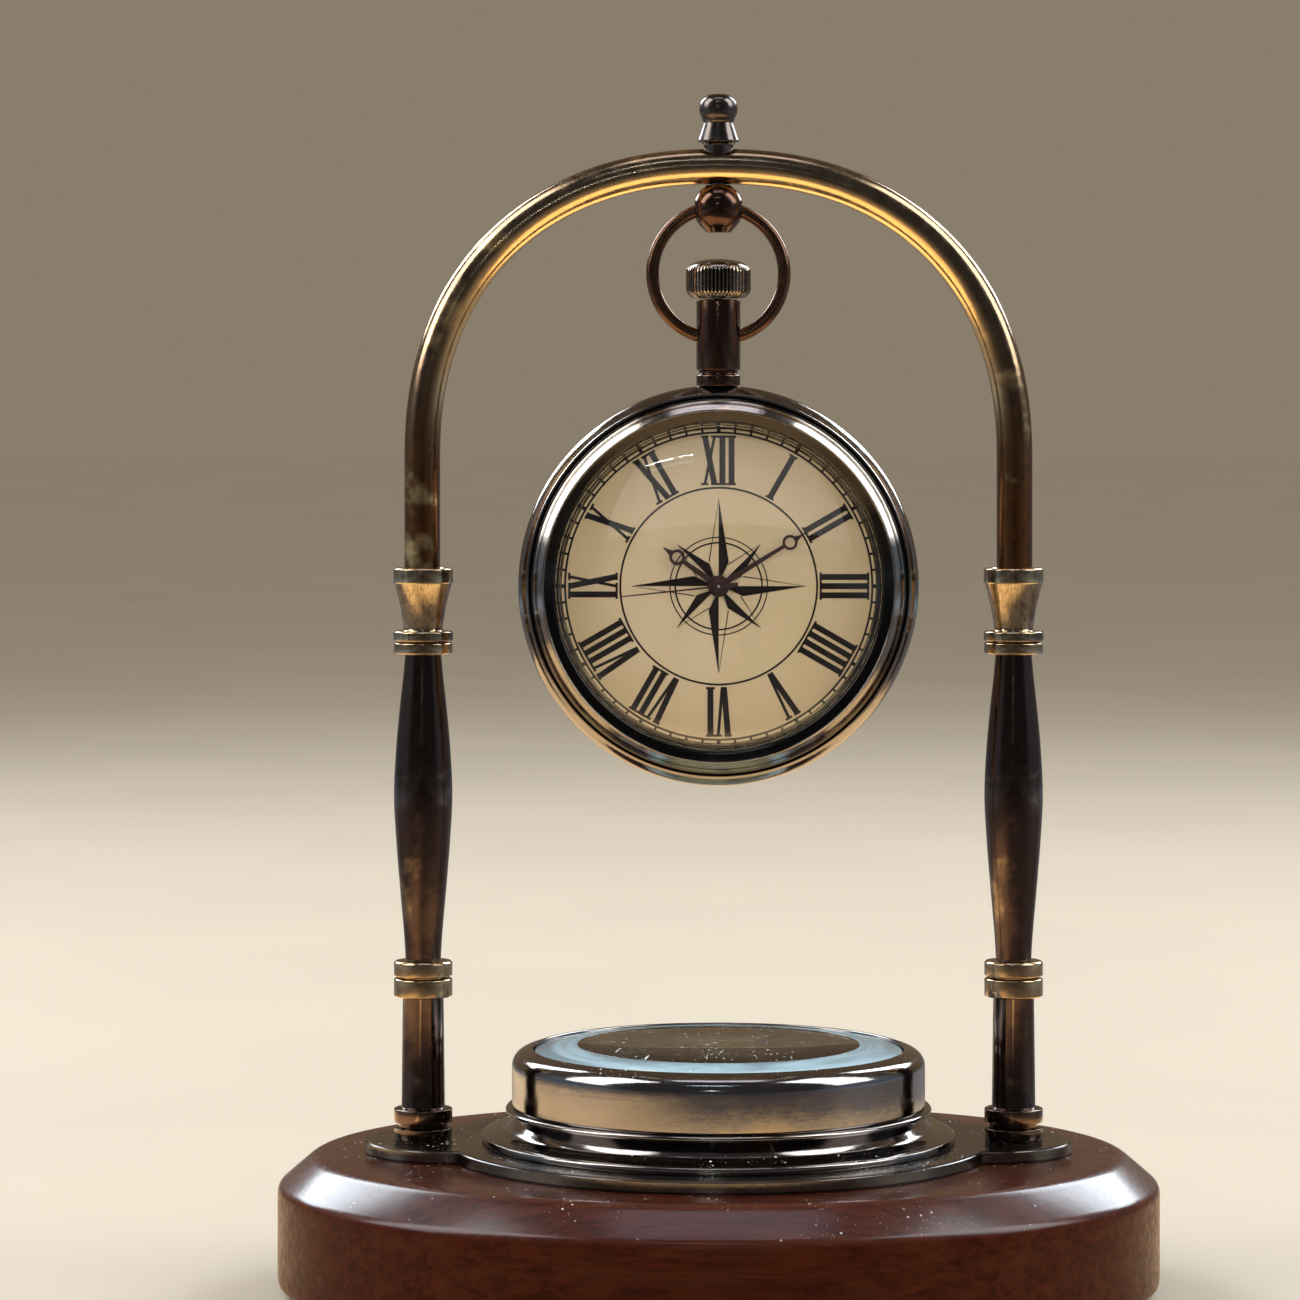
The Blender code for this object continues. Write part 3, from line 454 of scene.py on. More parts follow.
def mahogany():
    """Red-brown wood with its grain along X, and lacquer that lies thickest on what faces up."""
    s = Shader("lacquered_mahogany")
    flow = s.stretch(0.035, 0.4, 0.4)
    warp = s.noise(1.2, 3, 0.5, flow)
    rings = s.noise(2.2, 5, 0.6, s.stretch(0.03, 0.5, 0.5), 0.8)
    pores = s.step(s.noise(3.5, 4, 0.7, s.stretch(0.12, 2.0, 2.0)), 0.56, 0.7)
    colour = s.mix(s.step(rings, 0.3, 0.7), (0.018, 0.0022, 0.0007), (0.048, 0.0075, 0.0018))
    colour = s.mix(s.times(s.step(warp, 0.4, 0.8), 0.5), colour, (0.06, 0.016, 0.005))
    colour = s.mix(s.times(pores, 0.5), colour, (0.012, 0.003, 0.002))
    colour = s.mix(s.dust(0.9), colour, (0.6, 0.57, 0.54))
    colour = s.mix(s.times(s.edges(0.505, 0.56), 0.35), colour, (0.24, 0.07, 0.04))
    relief = s.bump(s.noise(0.16, 2, 0.5), 0.05, s.bump(pores, -0.01))
    s.set(Base_Color=colour, Roughness=s.step(s.noise(0.9, 4), 0.3, 0.7, 0.3, 0.45), Normal=relief)
    s.set(Specular_IOR_Level=0.04, Coat_Roughness=0.2, Coat_IOR=1.35)
    s.set(Coat_Weight=s.upward(0.1, 0.6, 0.06), Coat_Normal=s.bump(s.noise(0.12, 2, 0.5), 0.05))
    return s.material


def felt():
    s = Shader("green_felt")
    fibres = s.noise(4.0, 6, 0.75, distortion=1.5)
    colour = s.mix(s.step(fibres, 0.3, 0.7), (0.008, 0.03, 0.018), (0.03, 0.09, 0.05))
    colour = s.mix(s.step(s.noise(0.15, 3), 0.5, 0.8), colour, (0.03, 0.06, 0.035))
    s.set(Base_Color=colour, Roughness=0.95, Normal=s.bump(fibres, 0.15))
    s.set(Sheen_Weight=0.5, Sheen_Roughness=0.5)
    return s.material


def dial_paper():
    s = Shader("aged_dial_paper")
    colour = s.mix(s.step(s.noise(0.13, 4, 0.6), 0.35, 0.7), (0.75, 0.575, 0.365), (0.7, 0.535, 0.31))
    colour = s.mix(s.step(s.radius(), 10, 21), colour, (0.7, 0.52, 0.29))
    spots = s.step(s.noise(1.6, 4, 0.7), 0.62, 0.78)
    colour = s.mix(s.times(spots, 0.3), colour, (0.55, 0.38, 0.23))
    relief = s.bump(s.noise(5.0, 5, 0.7), 0.006)
    s.set(Base_Color=colour, Roughness=s.step(s.noise(0.8), 0.3, 0.7, 0.4, 0.55), Normal=relief)
    return s.material


def ink():
    s = Shader("dial_ink")
    tone = s.noise(2.5, 4, 0.7)
    s.set(Base_Color=s.mix(s.step(tone, 0.3, 0.75), (0.006, 0.004, 0.0035), (0.02, 0.011, 0.008)))
    s.set(Roughness=s.step(tone, 0.3, 0.7, 0.35, 0.6), Normal=s.bump(s.noise(6.0, 4), 0.004))
    s.set(Specular_IOR_Level=0.1)
    return s.material


def hand_lacquer():
    s = Shader("lacquered_hands")
    tone = s.noise(1.5, 4, 0.6)
    colour = s.mix(s.step(tone, 0.35, 0.7), (0.01, 0.0025, 0.0025), (0.03, 0.006, 0.006))
    colour = s.mix(s.times(s.edges(), 0.3), colour, (0.09, 0.03, 0.02))
    s.set(Base_Color=colour, Metallic=0.2, Roughness=s.step(tone, 0.3, 0.7, 0.3, 0.45))
    s.set(Normal=s.bump(s.noise(4.0, 4), 0.004))
    return s.material


def clear_glass(name, tint, ior=1.5, dusty=0.0):
    """Glass with faint smears. Lamps shine through it, so what is behind it stays lit."""
    s = Shader(name)
    smear = s.noise(0.25, 4, 0.6, distortion=1.0)
    s.set(Base_Color=s.mix(s.step(smear, 0.3, 0.7), tint, scaled(tint, 1.03)))
    s.set(Roughness=s.step(smear, 0.5, 0.8, 0.0, 0.015), Transmission_Weight=1.0, IOR=ior)
    clear = s.add("ShaderNodeBsdfTransparent", inputs={"Color": tint})
    shadow = s.add("ShaderNodeLightPath").outputs["Is Shadow Ray"]
    surface = s.blend(shadow, s.bsdf.outputs[0], clear.outputs[0])
    if dusty:
        speck = s.add("ShaderNodeBsdfDiffuse", inputs={"Color": (0.8, 0.8, 0.78)})
        surface = s.blend(s.dust(dusty), surface, speck.outputs[0])
    s.tree.links.new(surface, s.tree.nodes["Material Output"].inputs["Surface"])
    return s.material


def glass_edge_painted_reflection():
    """The wide ground edge of a thick glass: green-blue like a glass edge, made paler and given brighter arcs as a
    painted reflection of cool light.
    """
    s = Shader("ground_glass_edge")
    painted_reflection_arcs = s.noise(1.0, 3, 0.5, s.lathe(0.3, 1.6), 0.3)
    # Painted reflection: the pale green-blue and the brighter arcs stand in for cool light mirrored in the glass
    # edge.
    colour = s.mix(s.step(painted_reflection_arcs, 0.35, 0.62), (0.14, 0.22, 0.26), (0.29, 0.43, 0.5))
    colour = s.mix(s.step(painted_reflection_arcs, 0.6, 0.75), colour, (0.42, 0.5, 0.5))
    colour = s.mix(s.dust(0.9), colour, (0.8, 0.8, 0.78))
    s.set(Base_Color=colour, Roughness=s.step(painted_reflection_arcs, 0.3, 0.7, 0.12, 0.25), Normal=s.bump(painted_reflection_arcs, 0.02))
    s.set(Coat_Weight=0.4)
    return s.material


def machined(name, first, second, gloss, metal=1.0, marks=6.0, relief=0.004):
    """Plain machined or moulded stock, for the parts inside."""
    s = Shader(name)
    lines = s.noise(1.0, 4, 0.7, s.stretch(marks, marks, marks * 0.2))
    colour = s.mix(s.step(lines, 0.25, 0.75), first, second)
    stains = s.step(s.noise(0.5, 4), 0.55, 0.75)
    colour = s.mix(s.times(stains, 0.35), colour, scaled(first, 0.5))
    s.set(Base_Color=colour, Metallic=metal, Roughness=s.step(lines, 0.2, 0.8, gloss * 0.8, gloss * 1.3))
    s.set(Normal=s.bump(lines, relief))
    return s.material


# Rings of radius on the watch case that get painted shade, darkened nearly to black: the bezel's inner slope and
# the two grooves round it.
CASE_PAINTED_SHADE = [(20.0, 21.72, 0.94), (22.62, 22.78, 0.6), (23.12, 23.72, 0.85)]
case_brass = brass(
    "case_brass", (0.27, 0.24, 0.21), (0.42, 0.33, 0.23), 0.06, 0.12, 0.05, shaded=CASE_PAINTED_SHADE
)
# The arch's gold on what faces down is a painted reflection of the floor.
arch_brass = brass(
    "arch_brass", (0.2, 0.08, 0.03), (0.95, 0.64, 0.29), 0.1, 0.17, 0.05, turned_marks=False,
    painted_reflection_below=0.9, higher=(112, (0.26, 0.185, 0.115)),
)
bow_brass = brass("bow_brass", (0.12, 0.064, 0.038), (0.15, 0.085, 0.05), 0.1, 0.24, 0.08, turned_marks=False)
plate_brass = brass(
    "plate_brass", (0.07, 0.064, 0.062), (0.26, 0.21, 0.15), 0.05, 0.16, turned_marks=False, dusty=1.0
)
compass_brass = brass("compass_brass", (0.24, 0.218, 0.206), (0.4, 0.32, 0.23), 0.05, 0.1, 0.04, dusty=0.9)
finial_brass = brass("finial_brass", (0.1, 0.082, 0.072), (0.22, 0.17, 0.13), 0.06, 0.2, 0.3)
maroon_brass = brass("maroon_brass", (0.09, 0.048, 0.034), (0.2, 0.12, 0.07), 0.06, 0.16, 0.2)
crown_brass = brass("crown_brass", (0.2, 0.165, 0.135), (0.46, 0.36, 0.25), 0.06, 0.17, 0.2, pitted=0.2)
card_brass = brass("card_brass", (0.16, 0.13, 0.07), (0.45, 0.35, 0.18), 0.2, 0.3, 0.2)
card_face = machined("card_face", (0.42, 0.35, 0.19), (0.5, 0.42, 0.24), 0.5, metal=0.5)
wood = mahogany()
paper = dial_paper()
print_ink = ink()
hand_paint = hand_lacquer()
watch_glass = clear_glass("watch_crystal", (0.97, 0.985, 0.98))
compass_glass = clear_glass("compass_glass_clear", (0.93, 0.98, 0.97), 1.35, dusty=1.0)


# ---------------- base and plate


def build_base():
    chamfer_inset, chamfer_drop = 4.6, 3.9
    low, high = BASE.low.z, BASE.high.z
    outline = [(8, low), (0.25, low, 0.9), (0, low + 1.2, 0.6), (0, high - chamfer_drop, 0.8)]
    outline += [(chamfer_inset, high, 1.1), (chamfer_inset + 6, high)]
    half_length, half_depth = BASE.size.x / 2, BASE.size.y / 2
    loops = []
    for inset, z in rounded(outline, steps=5):
        loops.append([((half_length - inset) * x, (half_depth - inset) * y, z) for x, y in circle(1, 180)])
    make_piece("mahogany_base", skin(loops), wood, "stand", "wooden_base", "mahogany")


def plate_outline():
    """A disc with a smaller disc standing out at each end."""
    disc, reach = PLATE.size.y / 2, PLATE.size.x / 2
    lobe = 11.0
    gap = reach - lobe
    along = (gap**2 + disc**2 - lobe**2) / (2 * gap)
    meet = math.degrees(math.acos(along / disc))
    across = math.sqrt(disc**2 - along**2)
    swing = math.degrees(math.atan2(across, along - gap))
    points = arc(lobe, -swing, swing, 48, (gap, 0))
    points += arc(disc, meet, 180 - meet, 72)[1:]
    points += arc(lobe, 180 - swing, 180 + swing, 48, (-gap, 0))[1:]
    points += arc(disc, 180 + meet, 360 - meet, 72)[1:-1]
    return points


def build_plate():
    shape = prism(plate_outline(), PLATE.low.z, PLATE.high.z, 0.22)
    make_piece("footed_plate", shape, plate_brass, "stand", "base_plate")


# ---------------- columns and arch


def column_materials():
    """Dark posts with rubbed bands, and brighter ferrules."""
    stem, baluster, ferrule = Box("left_stem"), Box("left_baluster"), Box("left_ferrule")
    bands = [(stem.high.z - 2.4, baluster.low.z + 2.25), (ferrule.low.z - 1.6, ferrule.low.z + 2)]
    post = brass(
        "post_brass", (0.085, 0.054, 0.044), (0.4, 0.28, 0.16), 0.09, 0.14, 0.07, brushed=True, bands=bands
    )
    cup = brass("ferrule_brass", (0.15, 0.1, 0.07), (0.5, 0.38, 0.23), 0.34, 0.16, 0.09, brushed=True)
    return post, cup


def build_column(side, post_brass, cup_brass):
    foot, stem = Box(f"{side}_foot_ring"), Box(f"{side}_stem")
    baluster, ferrule = Box(f"{side}_baluster"), Box(f"{side}_ferrule")
    at = (stem.centre.x, 0, 0)
    ring = stem.size.x / 2

    def add(part, outline, surface=post_brass, slot="antique_brass"):
        node = f"{side}_{part}"
        turned(f"{node}_turned", outline, surface, "stand", 72, False, 0.05, replaces=node, slot=slot, at=at)

    low, high = foot.low.z, foot.high.z
    outline = [(0, low), (ring - 0.08, low), (ring, high - 0.15), (ring - 0.5, high), (0, high)]
    add("foot_ring", outline)

    low, high = stem.low.z, stem.high.z
    band = 1.6
    outline = [(0, low), (3.05, low), (3.05, low + 0.5), (ring, low + 0.58), (ring, low + 0.58 + band)]
    outline += [(ring - 0.25, low + 0.7 + band), (2.72, low + 0.8 + band), (2.55, high - 2.4)]
    outline += [(ring - 0.12, high - 2.35), (ring, high - 2.22), (ring, high - 0.2)]
    outline += [(ring - 0.12, high - 0.08), (3.1, high), (0, high)]
    add("stem", outline)

    low, high = baluster.low.z, ferrule.low.z
    neck, belly, waist = 2.2, 3.65, 2.25
    foot_z, head_z, belly_z = low + 2.15, high - 1.5, low + 22.6
    side_line = [(neck, foot_z), (2.42, foot_z + 3.5), (2.9, foot_z + 9.0), (3.38, foot_z + 15.0)]
    side_line += [(belly, belly_z), (3.42, belly_z + 5.5), (2.96, belly_z + 10.8), (2.5, belly_z + 15.0)]
    outline = [(0, low), (3.1, low), (3.1, low + 0.14), (ring - 0.12, low + 0.16), (ring, low + 0.28)]
    outline += [(ring, foot_z - 0.32), (ring - 0.2, foot_z - 0.1), (neck + 0.1, foot_z, 0.1)]
    outline += [(*p, 0) for p in smooth(side_line + [(waist, head_z)])]
    outline += [(ring - 0.12, head_z + 0.04), (ring, head_z + 0.16), (ring, high - 0.2)]
    outline += [(ring - 0.12, high - 0.08), (3.15, high), (0, high)]
    add("baluster", outline)

    low, high = ferrule.low.z, ferrule.high.z
    cup = 3.72
    outline = [(0, low), (3.15, low), (3.15, low + 0.1), (cup - 0.12, low + 0.12), (cup, low + 0.24)]
    outline += [(cup, low + 1.2), (cup - 0.14, low + 1.34), (2.5, low + 1.42), (2.42, low + 1.7, 0.15)]
    outline += [(2.85, low + 4.6, 2)]
    outline += [(cup - 0.12, high - 1.86), (cup, high - 1.76), (cup, high - 0.14), (cup - 0.14, high)]
    outline += [(2.95, high), (2.6, high - 0.3), (2.5, high - 4), (0, high - 4)]
    add("ferrule", outline, cup_brass, "worn_brass")


def arch_path():
    """Up one leg, over a superellipse and down the other leg."""
    spring_z, crown_z, squareness = 103.9, ARCH.high.z - TUBE_RADIUS, 2.25
    rise = crown_z - spring_z
    path = [(COLUMN_X, ARCH.low.z + (spring_z - ARCH.low.z) * i / 10) for i in range(10)]
    for i in range(145):
        angle = math.pi * i / 144
        across, up = math.cos(angle), abs(math.sin(angle))
        scale = (abs(across) ** squareness + up**squareness) ** (-1 / squareness)
        path.append((COLUMN_X * across * scale, spring_z + rise * up * scale))
    return path + [(-x, z) for x, z in reversed(path[:10])]


def build_arch():
    make_piece("bent_tube", tube(arch_path(), TUBE_RADIUS, 40), arch_brass, "stand", "arch")

    top, seat = FINIAL.high.z, ARCH.high.z
    ball, tall = FINIAL.size.x / 2 - 0.06, 1.85
    outline = [(0, TUBE_UNDERSIDE - 1.0), (SHANK_RADIUS, TUBE_UNDERSIDE - 1.0), (SHANK_RADIUS, seat - 2)]
    outline += [(1.75, seat - 0.9), (1.85, seat + 0.5), (2.2, seat + 0.78, 0.04), (2.58, seat + 0.88, 0.06)]
    outline += [(2.6, seat + 1.02, 0.06), (1.86, seat + 3.15, 0.3), (1.84, seat + 3.32, 0.1)]
    outline += [(1.98, seat + 3.45, 0.1)]
    for x, z in arc(1, -36, 90, 20):
        square = (abs(x) ** 2.5 + abs(z) ** 2.5) ** (-1 / 2.5)
        outline.append((ball * x * square, top - tall + tall * z * square, 0))
    turned("ball_finial", outline, finial_brass, "stand", 64, replaces="finial")


def build_bead():
    """The bead under the arch, which turns on the finial's shank and is drilled for the bow."""
    top, low, band = min(BEAD.high.z + 0.2, TUBE_UNDERSIDE - 0.08), BEAD.low.z, BEAD.size.x / 2 + 0.04
    socket = SHANK_RADIUS + 0.1
    side = [(1.45, top), (2.15, top - 0.55), (2.75, top - 1.25), (band, top - 2.1), (band, top - 3.3)]
    side += [(2.86, top - 4.2), (2.35, top - 5.0), (1.75, low + 0.25)]
    outline = [(0, top - 1.4), (socket, top - 1.4), (socket, top), (1.2, top, 0.04)]
    outline += [(*p, 0) for p in smooth(side, 5)] + [(1.55, low, 0.1), (0, low)]
    bead = turned("hanging_bead", outline[::-1], maroon_brass, "hanger", 64, replaces="hanger_bead")
    bore(bead, 1.3, 6, BOW_HOLE_Z, 40)


def build_bow():
    wire = BOW.size.y / 2
    ring_radius = BOW.size.x / 2 - wire
    centre_z = BOW.high.z - wire - ring_radius
    pin_x = math.sqrt(ring_radius**2 - (centre_z - BOW_PIVOT_Z) ** 2)
    opening = math.degrees(math.asin(pin_x / ring_radius))
    ring = arc(ring_radius, -90 + opening, 270 - opening, 128, (0, centre_z))
    path = [(1.4, BOW_PIVOT_Z), (1.9, BOW_PIVOT_Z), (2.4, BOW_PIVOT_Z + 0.02)]
    path = path + ring + [(-x, z) for x, z in reversed(path)]
    make_piece("bow_ring", tube(path, wire, 24), bow_brass, "bow", "bow")


# ---------------- watch case


def build_case():
    def add(name, outline, surface, node, slot="antique_brass", ring=True, fillet=0.08):
        turned(name, outline, surface, "watch", 160, ring, fillet, replaces=node, slot=slot, **ON_WATCH)

    rear, front, edge = -CASE.high.y, -CASE.low.y, CASE_RADIUS
    outline = [(22.4, rear), (24.2, rear, 0.1), (24.7, rear + 0.35, 0.4), (edge, rear + 1.5, 0.8)]
    outline += [(edge, 1.35, 0.35), (24.55, 2.2, 0.5), (24.02, 2.84, 0.06), (23.98, 2.98, 0.03)]
    outline += [(23.78, 3.04, 0.04), (23.6, front - 0.2), (23.5, front - 0.6, 0.1), (22.4, front - 0.6)]
    add("case_band", outline, case_brass, "case_middle")

    rear_most, seat = -Box("case_back").high.y, rear - 0.05
    outline = [(0, rear_most), (13, rear_most + 0.3, 3), (19.5, rear_most + 0.85, 2)]
    outline += [(22.6, rear_most + 1.45, 1), (23.9, seat - 0.75, 0.3), (24.35, seat - 0.35, 0.2)]
    outline += [(24.3, seat, 0.05), (22, seat), (22, seat + 1), (0, seat + 1)]
    add("snap_back", outline, case_brass, "case_back", ring=False)

    seat, top = front - 0.55, -BEZEL.low.y
    outline = [(21.2, seat), (23.34, seat), (23.34, top - 1.42, 0.05), (23.1, top - 1.34, 0.06)]
    outline += [(22.55, top - 0.72, 0.5), (22.0, top - 0.24, 0.06), (21.94, top - 0.06, 0.04)]
    outline += [(21.8, top, 0.04), (21.7, top - 0.14, 0.05), (20.78, top - 0.5, 0.15)]
    outline += [(20.5, top - 0.66, 0.08), (20.42, top - 1.15, 0.05), (20.42, seat + 0.2)]
    add("bezel_ring", outline, case_brass, "case_bezel")

    crystal = Box("crystal")
    top, rim, radius = -crystal.low.y, -crystal.high.y, crystal.size.x / 2
    outer = []
    for degrees in range(90, -1, -5):
        height = top - 1.45 * (1 - math.cos(math.radians(degrees * 1.06)))
        outer.append((radius * math.sin(math.radians(degrees)), height))
    inner = [(r * 0.972, h - 0.62) for r, h in reversed(outer)]
    outline = [(r, h, 0) for r, h in inner] + [(radius, rim, 0.05)] + [(r, h, 0) for r, h in outer]
    add("domed_crystal", outline, watch_glass, "crystal", "glass", ring=False)

    flange = Box("dial_flange")
    low, high = -flange.high.y, -flange.low.y
    outline = [(19.68, low), (21.2, low), (21.0, high - 0.5), (20.4, high), (20.2, high, 0.05)]
    add("sloped_flange", outline, card_brass, "dial_flange", fillet=0.04)


def build_pendant():
    low, high, radius = PENDANT.low.z, CROWN.low.z - 0.1, PENDANT.size.x / 2
    case_top = WATCH_AT[2] + CASE_RADIUS
    groove = case_top + 1.45
    outline = [(0, low), (radius, low), (radius, groove - 0.2, 0.12), (radius - 0.32, groove, 0.05)]
    outline += [(radius - 0.32, groove + 0.35, 0.05), (radius, groove + 0.5, 0.12)]
    outline += [(radius, high - 0.15, 0.12), (1.5, high), (0, high)]
    pendant = turned("pendant_tube", outline, maroon_brass, "watch", 64, replaces="pendant")
    bore(pendant, 1.0, 4, BOW_PIVOT_Z, 32)


def build_crown():
    low, high, radius = CROWN.low.z, CROWN.high.z, CROWN.size.x / 2
    teeth, dips = 52, (0, 0, 0, 0.17, 0.3, 0.17)
    shoulder, brow = low + 0.95, high - 1.5
    profile = [(2.9, low), (3.3, low + 0.03), (3.62, low + 0.32), (3.85, low + 0.62), (3.97, low + 0.78)]
    profile += [(radius, shoulder), (radius, shoulder + 0.3), (radius, brow - 0.3), (radius, brow)]
    dome = [(radius, brow), (3.97, brow + 0.2), (3.8, brow + 0.48), (3.4, brow + 0.84), (2.75, brow + 1.13)]
    dome += [(1.9, brow + 1.34), (1.0, brow + 1.46), (0.02, high)]
    profile += smooth(dome, 4)[1:]
    loops = []
    for share, z in profile:
        loop = []
        for i in range(teeth * len(dips)):
            angle = 2 * math.pi * i / (teeth * len(dips))
            r = min(share, radius - dips[i % len(dips)])
            loop.append((r * math.cos(angle), r * math.sin(angle), z))
        loops.append(loop)
    make_piece("fluted_crown", skin(loops), crown_brass, "crown", "crown", sharp=28)


# ---------------- dial


PRINT_HEIGHT = 0.03
NUMERALS = ["XII", "I", "II", "III", "IIII", "V", "VI", "VII", "VIII", "IX", "X", "XI"]
FOOT_RADIUS, HEAD_RADIUS = 12.55, 18.72
THICK, THIN, SERIF = 0.74, 0.37, 0.28


def printed(outline, share=1.0, raised=0.0):
    """Ink on the dial, in a share of the full height of the print."""
    return prism(outline, DIAL_FRONT + raised, DIAL_FRONT + PRINT_HEIGHT * share + raised)


def stroke(start, end, width, share=1.0):
    """A straight bar of ink from start to end, its ends square to the hour's axis."""
    half = width / 2
    outline = [(start[0] - half, start[1]), (start[0] + half, start[1])]
    return printed(outline + [(end[0] + half, end[1]), (end[0] - half, end[1])], share)


def glyph(letter, x, low, high):
    """The bars of one Roman letter whose left edge is at x, and the letter's width."""
    bars = []
    if letter == "I":
        middle = x + 0.6
        bars.append(stroke((middle, low), (middle, high), THICK))
        for z in (low, high - SERIF):
            bars.append(stroke((middle, z), (middle, z + SERIF), 1.12, 0.9))
        return bars, 1.2
    width = 2.12
    left, right = x + 0.46, x + width - 0.42
    if letter == "V":
        foot = x + width / 2
        bars.append(stroke((foot - 0.08, low), (left, high), THICK))
        bars.append(stroke((foot + 0.12, low), (right, high), THIN, 0.9))
        serifs = [(left, high - SERIF), (right, high - SERIF)]
    else:
        bars.append(stroke((right, low), (left, high), THICK))
        bars.append(stroke((left, low), (right, high), THIN, 0.9))
        serifs = [(side, z) for side in (left, right) for z in (low, high - SERIF)]
    for middle, z in serifs:
        bars.append(stroke((middle, z), (middle, z + SERIF), 0.92, 0.8))
    return bars, width


def clockwise(shape, degrees):
    vertices, faces = shape
    spin = Matrix.Rotation(math.radians(-degrees), 4, "Z")
    return [tuple(spin @ Vector(v)) for v in vertices], faces


def numeral(word, hour):
    widths = {"I": 1.2, "V": 2.12, "X": 2.12}
    overlap = 0.06
    x = -(sum(widths[letter] for letter in word) - overlap * (len(word) - 1)) / 2
    parts = []
    for letter in word:
        bars, width = glyph(letter, x, FOOT_RADIUS, HEAD_RADIUS)
        parts += bars
        x += width - overlap
    return [clockwise(part, 30 * hour) for part in parts]


def print_ring(inner, outer):
    top = DIAL_FRONT + PRINT_HEIGHT
    return revolved([(inner, DIAL_FRONT), (outer, DIAL_FRONT), (outer, top), (inner, top)], 180, True)


def star_points(reach, waist, offset):
    """Four points of the star, each a dark half and an outlined half. They lie just above its rings."""
    line, spread = 0.13, math.radians(22.5)
    tip = Vector((0, reach))
    side = Vector((waist * math.sin(spread), waist * math.cos(spread)))
    mirror = Vector((-side.x, side.y))
    along = (tip - mirror).normalized()
    inward = Vector((-along.y, along.x)) * line
    dark = [(0, 0.4), side, tip]
    edge = [mirror, tip, tip - inward * 0.3 - along * 0.3, mirror - inward]
    base = [(0, 0.3), (-line, 0.45), mirror + Vector((line * 0.4, -line)), mirror]
    parts = []
    for quarter in range(4):
        for outline, share in ((dark, 1.0), (edge, 0.9), (base, 0.8)):
            parts.append(clockwise(printed(outline, share, 0.004), offset + 90 * quarter))
    return parts


def build_dial():
    back, edge = -DIAL.high.y, DIAL.size.x / 2
    outline = [(1.0, back), (edge, back), (edge, DIAL_FRONT), (1.0, DIAL_FRONT)]
    finish = {"replaces": "dial", "slot": "dial_cream"}
    turned("dial_disc", outline, paper, "watch", 144, True, 0.03, **finish, **ON_WATCH)

    hours = []
    for hour, word in enumerate(NUMERALS):
        hours += numeral(word, hour)
    track = [print_ring(18.98, 19.24), print_ring(12.12, 12.36)]
    for minute in range(60):
        half = 0.24 if minute % 5 == 0 else 0.15
        track.append(clockwise(printed(bar(half, 19.2, 19.65), 0.9), 6 * minute))
    track.append(print_ring(19.6, 20.3))
    star = [print_ring(5.3, 5.5), print_ring(6.0, 6.14)]
    star += star_points(7.4, 3.0, 45) + star_points(10.9, 3.3, 0)
    for name, parts in (("hour_numerals", hours), ("minute_track", track), ("dial_star", star)):
        make_piece(name, merged(*parts), print_ink, "watch", slot="hand_paint", **ON_WATCH)


# ---------------- hands


def hand_blade(low, high, hub, root, neck, eye_at, eye, wall, tip):
    """A blade from the hub to its moon, the moon as a ring, and the point beyond it."""
    foot, waist, shoulder = eye_at + eye * 0.82, eye_at + eye + (tip - eye_at - eye) * 0.45, neck * 0.7
    point = [(-eye * 0.42, foot), (eye * 0.42, foot), (shoulder, waist), (0.06, tip), (-0.06, tip)]
    blade = prism(bar(root, 0, eye_at - eye + 0.1, neck), low, high, 0.03)
    top = high - 0.02
    moon = [(eye - wall, low), (eye, low), (eye, top), (eye - wall, top)]
    disc = prism(circle(hub, 36), low, high + 0.02, 0.03)
    point = prism(point + [(-shoulder, waist)], low, high - 0.01, 0.03)
    return merged(blade, point, revolved(moon, 36, True, eye_at), disc)


def build_hands():
    """The hands at about 9 minutes 44 seconds past ten. Each is drawn pointing up and then turned."""
    minute_turn = 6 * (9 + 44 / 60)
    blades = {
        "hour_hand": dict(hub=1.35, root=0.42, neck=0.26, eye_at=6.3, eye=0.98, wall=0.36, tip=8.4),
        "minute_hand": dict(hub=1.15, root=0.38, neck=0.22, eye_at=10.4, eye=0.95, wall=0.34, tip=12.6),
    }
    turns = {"hour": 300 + minute_turn / 12, "minute": minute_turn, "second": 264}
    for word, turn in turns.items():
        node = f"{word}_hand"
        low, high = -Box(node).high.y, -Box(node).low.y
        if node in blades:
            shape = hand_blade(low, high, **blades[node])
        else:
            needle = prism(bar(0.13, -0.6, 12.2, 0.07), low + 0.03, high - 0.04, 0.02)
            tail = prism(bar(0.27, -2.4, -0.4, 0.25), low + 0.02, high - 0.05, 0.03)
            shape = merged(needle, tail, prism(circle(0.7, 36), low, high, 0.04))
        shape = clockwise(shape, turn)
        make_piece(f"{node}_blued", shape, hand_paint, f"{word}s", node, "hand_paint", **ON_WATCH)


# ---------------- compass


